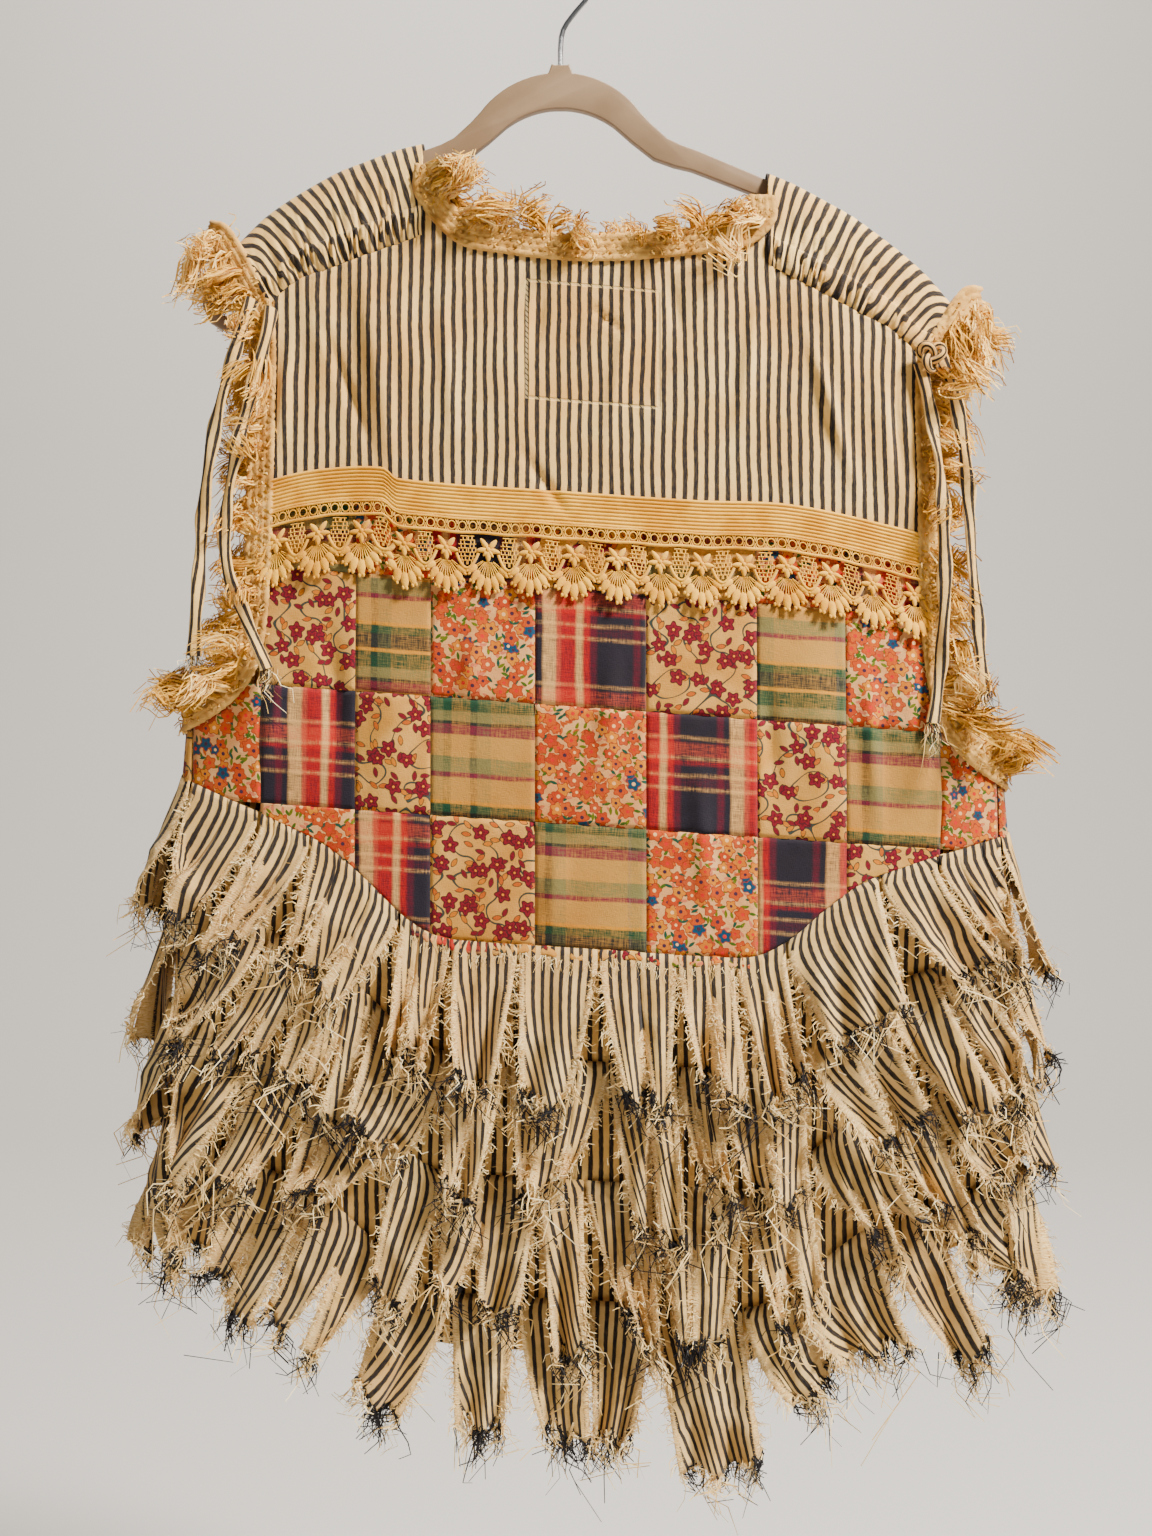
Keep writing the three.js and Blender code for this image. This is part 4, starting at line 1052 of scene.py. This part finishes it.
def cotton_yarn(name, pale, deep, twist):
    finish, tree, surface = new_finish(name, 0.9, Sheen_Weight=0.2, Specular_IOR_Level=0.2)
    soil = object_place(tree)
    feed(surface, Base_Color=mottled(noise(soil, 60.0, 4.0), pale, deep, 0.34, 0.68),
         Normal=bumped(noise(soil, twist, 3.0), Strength=0.5, Distance=0.0005))
    return finish


lace_cotton = cotton_yarn("lace_cotton", dye(230, 182, 106), dye(202, 148, 78), 900.0)


def lace_lift(s, d):
    wave = 0.5 + 0.5 * np.sin(s * 0.11 + 1.3 * np.sin(s * 0.031))
    return CLOTH + 1.0 + (0.8 + 3.0 * wave) * (d / 66) ** 2


def lace_points(s, d, high):
    sway = 1.3 * np.sin(s * 0.047 + 0.6) * (d / 66) ** 2
    return body(s + sway, read(LACE_TOP, s) - d - 0.7 * np.sin(s * 0.21) * (d / 66), lace_lift(s, d) + high)


def tube_in_lace(path, radius, sides):
    ahead = unit(np.gradient(path[:, :2], axis=0))
    side = np.column_stack([-ahead[:, 1], ahead[:, 0]])
    rings = []
    for k in range(sides):
        angle = (k + 0.5) / sides * 2 * math.pi
        rings.append(np.column_stack([path[:, :2] + side * radius * math.cos(angle),
                                      path[:, 2] + radius * math.sin(angle)]))
    return np.stack(rings, axis=1).reshape(-1, 3), ring_faces(len(path), sides)


def shell_in_lace(a, d, angle, long, wide, high):
    lats = np.linspace(0.001, math.pi - 0.001, 7)
    turns = np.arange(8) / 8 * 2 * math.pi
    lat, turn = np.meshgrid(lats, turns, indexing="ij")
    along = -np.cos(lat) * long
    across = np.sin(lat) * np.cos(turn) * wide * (1 + 0.25 * np.cos(lat))
    up = np.sin(lat) * np.sin(turn) * high
    c, s = math.cos(angle), math.sin(angle)
    points = np.stack([a + across * c + along * s, d + along * c - across * s, up + 0.2], axis=-1).reshape(-1, 3)
    return points, ring_faces(7, 8)


def lace_repeat():
    half = LACE_WIDE / 2
    parts = []

    def cord(a0, d0, a1, d1, count, thick, sides=3):
        t = np.linspace(0, 1, count)
        path = np.column_stack([a0 + (a1 - a0) * t, d0 + (d1 - d0) * t, np.full(count, 0.3)])
        parts.append(tube_in_lace(path, thick, sides))

    def scallop(a):
        return 8.0 * ((half - a) / 6.5) ** 2

    # two cords with a row of rings between them
    for level, thick in ((20.4, 0.75), (28.4, 1.0)):
        cord(-half, level, half, level, 9, thick, 5)
    for k in range(4):
        centre = -half + (k + 0.5) * LACE_WIDE / 4
        turn = np.linspace(0, 2 * math.pi, 13)
        ring = np.column_stack([centre + 2.3 * np.cos(turn), 24.4 + 2.5 * np.sin(turn), np.full(13, 0.3)])
        parts.append(tube_in_lace(ring, 0.52, 4))
        edge = centre + LACE_WIDE / 8
        for nudge in (-0.9, 0.9):
            cord(edge + nudge, 20.8, edge, 23.6, 3, 0.45)
            cord(edge, 24.8, edge + nudge, 28.0, 3, 0.45)

    # a flower with five petals and two small leaves
    heart = 38.2
    for angle, long, wide in ((2.48, 3.7, 1.65), (-2.48, 3.7, 1.65), (1.42, 3.4, 1.55), (-1.42, 3.4, 1.55),
                              (0.0, 3.5, 1.75), (0.62, 2.3, 1.1), (-0.62, 2.3, 1.1)):
        reach = long + 0.7
        parts.append(shell_in_lace(reach * math.sin(angle), heart + reach * math.cos(angle), angle, long, wide, 1.1))
    parts.append(shell_in_lace(0, heart, 0, 1.5, 1.5, 1.6))

    # a bricked net on both sides of it, closed below by a scalloped cord
    for side in (-1, 1):
        for j in range(7):
            level = 30.6 + 2.4 * j
            inner = 8.6 - 0.35 * j if j in (0, 1, 5, 6) else 7.4
            start = inner if level < 41 else max(inner, half - 6.5 * math.sqrt(max(49.0 - level, 0) / 8.0))
            cord(side * start, level, side * half, level, 4, 0.42)
            for k in range(3):
                a = inner + 0.3 + (0.0 if j % 2 else 1.15) + k * 2.2
                if a <= half and level + 2.4 < 49.0 - scallop(a) + 1.5:
                    cord(side * a, level, side * a, level + 2.4, 2, 0.4)
        a = 6.0 + (half - 6.0) * np.linspace(0, 1, 9)
        sag = np.column_stack([side * a, 49.6 - 1.05 * scallop(a), np.full(9, 0.5)])
        parts.append(tube_in_lace(sag, 1.0, 5))

    # a fan of seven shells on pairs of stems, each with two knobs
    fan = 43.4
    for angle, start, end, long, wide in (
        (0.0, 2.5, 13.0, 5.2, 2.5), (0.3, 2.5, 12.0, 4.9, 2.4), (-0.3, 2.5, 12.0, 4.9, 2.4),
        (0.6, 3.0, 10.6, 4.3, 2.3), (-0.6, 3.0, 10.6, 4.3, 2.3), (0.95, 3.6, 9.2, 3.6, 2.1),
        (-0.95, 3.6, 9.2, 3.6, 2.1),
    ):
        c, s = math.cos(angle), math.sin(angle)
        for nudge in (-0.07, 0.07):
            cn, sn = math.cos(angle + nudge), math.sin(angle + nudge)
            cord(start * sn, fan + start * cn, end * sn, fan + end * cn, 3, 0.4)
        parts.append(shell_in_lace((end + long * 0.7) * s, fan + (end + long * 0.7) * c, angle, long, wide, 0.9))
        for knob in (-1.1, 1.1):
            reach = end + long * 1.55
            parts.append(shell_in_lace(reach * s + knob * c, fan + reach * c - knob * s, angle, 1.3, 0.9, 0.8))
    starts = np.cumsum([0] + [len(points) for points, _ in parts])
    return (np.concatenate([points for points, _ in parts]),
            np.concatenate([quads + start for (_, quads), start in zip(parts, starts)]))


def lace_band_at(f, g):
    s = -LACE_HALF - 3 + (2 * LACE_HALF + 6) * f
    return s, read(LACE_TOP, s) - 20.5 * g


motif, motif_quads = lace_repeat()
centres = -LACE_HALF + LACE_WIDE * (np.arange(LACE_REPEATS) + 0.5)
all_s = (motif[None, :, 0] + centres[:, None]).ravel()
all_d = np.tile(motif[:, 1], LACE_REPEATS)
all_high = np.tile(motif[:, 2], LACE_REPEATS)
net_quads = (motif_quads[None] + (np.arange(LACE_REPEATS) * len(motif))[:, None, None]).reshape(-1, 4)
lace_net = mesh_piece("lace_net", lace_points(all_s, all_d, all_high), net_quads, lace_cotton)
register(lace_net, "lace")
lace_band = cloth_panel(
    "lace_band", 160, 46, lace_band_at, lace_cotton,
    lambda f, g: CLOTH + 0.9 + 1.15 * np.abs(np.sin(g * 20.5 / RIB_PITCH * math.pi)) ** 0.8
    + 0.12 * np.sin(f * 900))
register(lace_band, "lace", "lace_back")

# Fronts
# Two fronts, hidden in this view, cut like the back: ticking above, patchwork below, with
# a plain neck edge that slopes from the shoulder to the breast.
FRONT_NECK = 106.0


def front_seam(u):
    return read(SHOULDER_TOP, u) - FRONT_BAND_DROP - EDGE_GAP


def front_upper(side, name, node):
    def at(f, g):
        across = f if side > 0 else 1 - f
        top_u = 195 + (FRONT_NECK - 195) * across
        low_u = 196 + (FRONT_EDGE - 196) * across
        top_z = front_seam(top_u)
        z = top_z + (YOKE_LOW - top_z) * g
        return side * (half_round(z) - (top_u + (low_u - top_u) * g)), z

    hang(cloth_panel(name, 44, 32, at, ticking), at, "ticking", node)


def front_patch(side, column, row):
    edges_u = [FRONT_EDGE, 80, 142, 200, None]
    inner, outer = edges_u[column], edges_u[column + 1]
    top, low = PATCH_ROWS[row], (PATCH_ROWS[row + 1] if row < 3 else -530)

    def at(f, g):
        across = f if side > 0 else 1 - f
        z = top - SEAM + (low - top + 2 * SEAM) * g
        inner_s = half_round(z) - inner
        notch = np.where(z > -486, half_round(z) - (np.interp(z, ARMHOLE[:, 1], ARMHOLE[:, 0]) - EDGE_GAP),
                         SIDE_S + 1)
        outer_s = notch if outer is None else np.maximum(half_round(z) - outer, notch)
        return side * (outer_s + (inner_s - outer_s) * across), np.maximum(z, skirt_seam(outer_s) + SEAM)

    fabric = PATCH_ORDER[(column + row + (1 if side > 0 else 3)) % 4]
    side_name = "right" if side > 0 else "left"
    piece = cloth_panel(f"front_patch_{side_name}_r{row}_c{column}", 16, 14, at, PATCH_FINISH[fabric], CLOTH,
                        PATCH_WALL, patch_uv(0, 0, column + 20, row))
    hang(piece, at, fabric, f"front_patchwork_{side_name}")


front_upper(-1, "front_upper_left_cloth", "front_upper_left")
front_upper(1, "front_upper_right_cloth", "front_upper_right")
for side in (-1, 1):
    for row in range(3):
        for column in range(4 if row == 2 else 3):
            front_patch(side, column, row)

# Crochet tapes and yarn fringe
# A narrow crocheted cotton tape sewn round the neck, both armholes and the front edges, with
# soft unspun yarn drawn through it in curls and tufts that stand off the edge.
TAPE_WIDTH = 12.0
TAPE_WALL = 0.0009
YARN_LIFT = CLOTH + 0.8
ARMHOLE_TUFTS = 84
FRONT_TUFTS = 30
yarn_cotton = cotton_yarn("crochet_cotton", dye(214, 174, 118), dye(166, 124, 78), 700.0)
# The dark dye(120, 82, 44) and the low end of these yarn tones are painted shade among the strands, not a yarn of
# another colour.
YARN_THREADS = [dye(188, 140, 80), dye(222, 178, 112), dye(246, 216, 160)]
yarn_fray = fray_finish("unspun_yarn", YARN_THREADS, dye(120, 82, 44))


def edge_path(points):
    points = np.array(points, float)
    run = np.concatenate([[0], np.cumsum(np.hypot(*np.diff(points, axis=0).T))])
    return np.column_stack([run / run[-1], points]), run[-1]


def tape_place(path, t, width, off):
    s, z = read(path, t, 1), read(path, t, 2)
    low, high = np.clip(t - 0.006, 0, 1), np.clip(t + 0.006, 0, 1)
    ahead_s = read(path, high, 1) - read(path, low, 1)
    ahead_z = read(path, high, 2) - read(path, low, 2)
    length = np.maximum(np.hypot(ahead_s, ahead_z), 1e-6)
    return body(s - ahead_z / length * width, z + ahead_s / length * width, off, creased=False)


def yarn_edge(name, node, points, tufts, fuzz, seed, out):
    path, length = edge_path(points)
    chance = np.random.default_rng(seed)
    columns = int(length / 2.2)
    f, g = np.meshgrid(np.linspace(0, 1, columns + 1), np.linspace(0, 1, 13))
    knots = 1.1 * np.sin(f * length * 1.2 + 2.2 * np.round(g * 4)) + 1.0 * np.abs(np.sin(g * 4 * math.pi))
    width = -3.0 + (TAPE_WIDTH + 4.0) * g + 0.5 * np.sin(f * length * 0.9) * (g > 0.9)
    tape = mesh_piece(f"{name}_tape", tape_place(path, f, width, CLOTH + 0.7 + knots),
                      grid_faces(columns, 12), yarn_cotton, np.stack([f * length, g * TAPE_WIDTH], -1) / 1000)
    thicken(tape, TAPE_WALL)
    register(tape, "yarn", node)
    threads = []

    def grow(t, width, size, spread, sway, shade, curl, tress, lean=0.0):
        here = tape_place(path, t, width, YARN_LIFT)
        away = tape_place(path, t, width + 3, YARN_LIFT) - here
        forth = tape_place(path, t, width, YARN_LIFT + 3) - here
        aim = unit(away + forth * out + np.array([0, 0, sway]) * 0.003)
        last = threads[-1][-1].max() + 1 if threads else 0
        threads.append((here, aim + chance.normal(0, spread, aim.shape) + lean, size, shade,
                        np.full(len(t), curl), last + tress))

    count = int(length * fuzz)
    t = chance.uniform(0, 1, count)
    # Loose yarn in tones from 0.34 up; the darker ones are painted shade in the fluff.
    grow(t, chance.uniform(-2, TAPE_WIDTH + 1, count), chance.gamma(3, 1.1, count) + 1.5, 0.85, -0.3,
         chance.uniform(0.34, 1.0, count), 0.62, np.arange(count) // 3)
    for at, size, number in tufts:
        number = int(number * 1.5)
        t = np.clip(at + chance.normal(0, 1.3, number) / length, 0, 1)
        shade = np.clip(chance.uniform(0.4, 0.9) + chance.normal(0, 0.16, number), 0.3, 1)
        lean = chance.normal(0, 0.35, 3)
        grow(t, chance.uniform(TAPE_WIDTH * 0.2, TAPE_WIDTH, number), size * chance.uniform(0.85, 1.4, number), 0.1,
             chance.uniform(-0.6, 0.3), shade, 0.34, np.zeros(number, int), lean)
    roots, aims, lengths, tones, curls, locks = map(np.concatenate, zip(*threads))
    yarn = strands(f"{name}_yarn", roots, aims, lengths / 1000, 0.00062, 0.35, curls, 8, yarn_fray, tones,
                   seed + 1, locks)
    register(yarn, "yarn")


neck_points = [(-105.4, -140), (-105.4, -158), *map(tuple, NECK_SEAM[2:8]), (105.4, -155), (105.4, -141)]
NECK_TUFTS = [
    (-106, 22, 30), (-104, 30, 34), (-98, 34, 36), (-90, 36, 36), (-80, 30, 30), (-70, 22, 26), (-60, 16, 18),
    (-48, 14, 16), (-32, 32, 34), (-27, 24, 22), (-14, 16, 16), (-3, 22, 26), (8, 14, 14), (18, 18, 20),
    (30, 13, 14), (42, 18, 24), (52, 14, 14), (62, 26, 30), (70, 18, 18), (84, 16, 18), (94, 18, 20),
    (101, 26, 30), (105, 28, 28),
]
neck_path, _ = edge_path(neck_points)
neck_s = neck_path[:, 1] + np.arange(len(neck_path)) * 0.01
neck_tufts = [(float(np.interp(u, neck_s, neck_path[:, 0])), size, number) for u, size, number in NECK_TUFTS]
neck_tufts += [(0.02, 26, 34), (0.06, 28, 34), (0.10, 24, 24), (0.93, 20, 24), (0.985, 16, 20)]
yarn_edge("neck", "trim_neck", neck_points, neck_tufts, 1.4, 700, out=0.25)


def armhole_points():
    back = [tuple(p) for p in ARMHOLE]
    over = [(199, -230), (204, -219), (212, -206), (218, -196), (226, -187)]
    back[0] = (float(half_round(back[0][1])) / 2 - 1, back[0][1])
    rising = back + over
    return rising + [(float(half_round(z)) - s, z) for s, z in rising[::-1]]


for side, name in ((-1, "left"), (1, "right")):
    ring = [(side * s, z) for s, z in armhole_points()]
    ring = ring[::-1] if side > 0 else ring
    chance = np.random.default_rng(720 + side)
    tufts = []
    for k in range(ARMHOLE_TUFTS):
        along = (k + 0.5) / ARMHOLE_TUFTS
        at_foot = math.exp(-((along - 0.07) / 0.06) ** 2) + math.exp(-((along - 0.93) / 0.06) ** 2)
        at_top = math.exp(-((along - 0.5) / 0.05) ** 2)
        size = 13 + 12 * chance.uniform() + 9 * at_foot + 4 * at_top
        where = along if side < 0 else 1 - along
        tufts.append((where, size, int(12 + 16 * chance.uniform() + 12 * at_foot + 22 * at_top)))
    yarn_edge(f"armhole_{name}", f"trim_armhole_{name}", ring, tufts, 1.8, 740 + side, out=0.7)

for side, name in ((-1, "left"), (1, "right")):
    edge = []
    for z in np.linspace(-168, -512, 15):
        along = np.clip((front_seam(FRONT_NECK) - z) / (front_seam(FRONT_NECK) - YOKE_LOW), 0, 1)
        neck_u = FRONT_NECK + (FRONT_EDGE - FRONT_NECK) * along
        edge.append((side * float(half_round(z) - neck_u), z))
    edge = edge if side > 0 else edge[::-1]
    chance = np.random.default_rng(760 + side)
    tufts = [((k + 0.5) / FRONT_TUFTS, 8 + 7 * chance.uniform(), 14) for k in range(FRONT_TUFTS)]
    yarn_edge(f"front_{name}", f"trim_front_{name}", edge, tufts, 1.6, 780 + side, out=0.4)

# Drawstring ties
# Tubes of ticking pressed flat, drawn through the casings, that hang with frayed ends. The
# right pair comes out of one tight knot.
TIE_WIDTH = 9.6
TIE_THICK = 3.2
TIES = {
    "tie_left_outer": [(-185, -15.2, -213), (-191, -20, -232), (-205, -26, -289), (-212, -27, -340),
                       (-215, -27, -380), (-218, -27, -428)],
    "tie_left_inner": [(-173.5, -14.3, -218), (-177, -19.5, -240), (-191, -28, -300), (-199, -30, -350),
                       (-197, -31, -378), (-187, -31, -404), (-174, -31, -436)],
    "tie_right_inner": [(216, -17, -252), (220, -21, -274), (227, -28, -330), (228, -30, -395),
                        (225, -31, -440), (221, -31, -468)],
    "tie_right_outer": [(227.5, -15.3, -247), (235, -20, -268), (242, -26, -320), (245, -27, -372),
                        (249, -27, -415), (252, -27, -449)],
}


TIE_STEPS = 70
TIE_AROUND = 14
TIE_END_THREADS = 34


def run_of(points):
    return np.concatenate([[0], np.cumsum(np.linalg.norm(np.diff(points, axis=0), axis=1))])


def smooth_route(route):
    points = np.array(route, float)
    run = run_of(points)
    table = np.column_stack([run / run[-1], points])
    t = np.linspace(0, 1, TIE_STEPS + 1)
    return np.column_stack([read(table, t, k) for k in (1, 2, 3)])


def tie_tube(name, path, wide, thick, seed):
    chance = np.random.default_rng(seed)
    ahead = unit(np.gradient(path, axis=0))
    t = np.linspace(0, 1, len(path))
    twist = 0.5 * np.sin(t * 7 + chance.uniform(0, 6)) + 0.35 * np.sin(t * 19 + chance.uniform(0, 6))
    side = unit(np.cross(ahead, np.array([0, 1.0, 0])))
    turned = side * np.cos(twist)[:, None] + np.cross(side, ahead) * np.sin(twist)[:, None]
    other = np.cross(turned, ahead)
    angle = np.arange(TIE_AROUND) / TIE_AROUND * 2 * math.pi
    ripple = 1 + 0.1 * np.sin(t * 46 + 1)[:, None] * np.cos(angle * 3)[None, :]
    broad = (wide / 2) * (0.86 + 0.14 * np.sin(t * 31 + 2))[:, None] * np.cos(angle)[None, :] * ripple
    flat = (thick / 2) * (1 + 0.3 * np.sin(t * 27))[:, None] * np.sin(angle)[None, :] * ripple
    points = (path[:, None] + turned[:, None] * broad[..., None] + other[:, None] * flat[..., None]) / 1000
    run = run_of(path)
    around = np.abs(((angle / math.pi + 1) % 2) - 1)
    cut = np.stack(np.broadcast_arrays(around[None, :] * 14 - 0.7, -run[:, None]), axis=-1) / 1000
    return mesh_piece(name, points, ring_faces(len(path), TIE_AROUND), ticking, cut), float(run[-1])


for k, (name, route) in enumerate(TIES.items()):
    path = smooth_route(route)
    tie, run = tie_tube(f"{name}_cloth", path, TIE_WIDTH, TIE_THICK, 800 + k)
    register(tie, "ticking", name)
    chance = np.random.default_rng(820 + k)
    count = TIE_END_THREADS
    here = (path[-1] + chance.normal(0, 1, (count, 3)) * np.array([2.6, 0.7, 0.6])) / 1000
    aim = np.array([0, -0.1, -1.0]) + chance.normal(0, 0.4, (count, 3))
    tones = np.where(chance.uniform(0, 1, count) < 0.35, DARK_TONE, chance.uniform(PALE_TONE, 1, count))
    ends = strands(f"{name}_fray", here, aim, chance.gamma(3, 0.0028, count) + 0.003, 0.0003, 0.4, 0.35, 5, fray,
                   tones, 830 + k)
    register(ends, "ticking")
    if name == "tie_right_inner":
        turn = np.linspace(0, 2 * math.pi, 61)
        loops = np.column_stack([222 + 2.6 * (np.sin(turn) + 2 * np.sin(2 * turn)), -20 - 3.2 * np.sin(3 * turn),
                                 -248 + 2.9 * (np.cos(turn) - 2 * np.cos(2 * turn))])
        knot, _ = tie_tube("tie_right_knot", loops, 5.6, 3.6, 850)
        register(knot, "ticking")


# Hanger
# A slim moulded plastic hanger with a raised arch, arms that curl under at the ends and a
# chromed wire hook pushed into its nub.
plastic, plastic_tree, plastic_surface = new_finish("satin_hanger_plastic", 0.42)
where = object_place(plastic_tree)
feed(plastic_surface, Base_Color=mottled(noise(where, 30.0, 5.0), dye(134, 114, 94), dye(122, 102, 82), 0.35, 0.7),
     Normal=bumped(noise(where, 900.0, 2.0), Strength=0.08, Distance=0.0002))

hanger_cad = bpy.data.objects["hanger"]
hanger_mesh = hanger_cad.data.copy()
hanger_piece = bpy.data.objects.new("hanger_moulding", hanger_mesh)
bpy.context.collection.objects.link(hanger_piece)
bpy.ops.object.select_all(action="DESELECT")
hanger_piece.select_set(True)
bpy.context.view_layer.objects.active = hanger_piece
bpy.ops.object.mode_set(mode="EDIT")
bpy.ops.mesh.select_all(action="SELECT")
bpy.ops.mesh.remove_doubles(threshold=0.00002)
bpy.ops.mesh.dissolve_limited(angle_limit=0.02)
bpy.ops.object.mode_set(mode="OBJECT")
rounding = hanger_piece.modifiers.new("rounded_edges", "BEVEL")
rounding.width = 0.0011
rounding.segments = 3
rounding.limit_method = "ANGLE"
rounding.angle_limit = 0.9
bpy.ops.object.modifier_apply(modifier="rounded_edges")
bpy.ops.object.shade_smooth_by_angle(angle=0.6)
hanger_mesh.materials.clear()
hanger_mesh.materials.append(plastic)
register(hanger_piece, "hanger_plastic", "hanger")

steel, steel_tree, steel_surface = new_finish("chromed_hook_wire", 0.2, Base_Color=(0.72, 0.72, 0.74, 1),
                                              Metallic=1.0)
drawn = Amount(put(steel_tree, "ShaderNodeTexNoise", Scale=300.0, Detail=2.0).outputs["Fac"])
feed(steel_surface, Normal=bumped(drawn, Strength=0.05))
hook = bpy.data.objects["hook"]
hook.data.materials.clear()
hook.data.materials.append(steel)
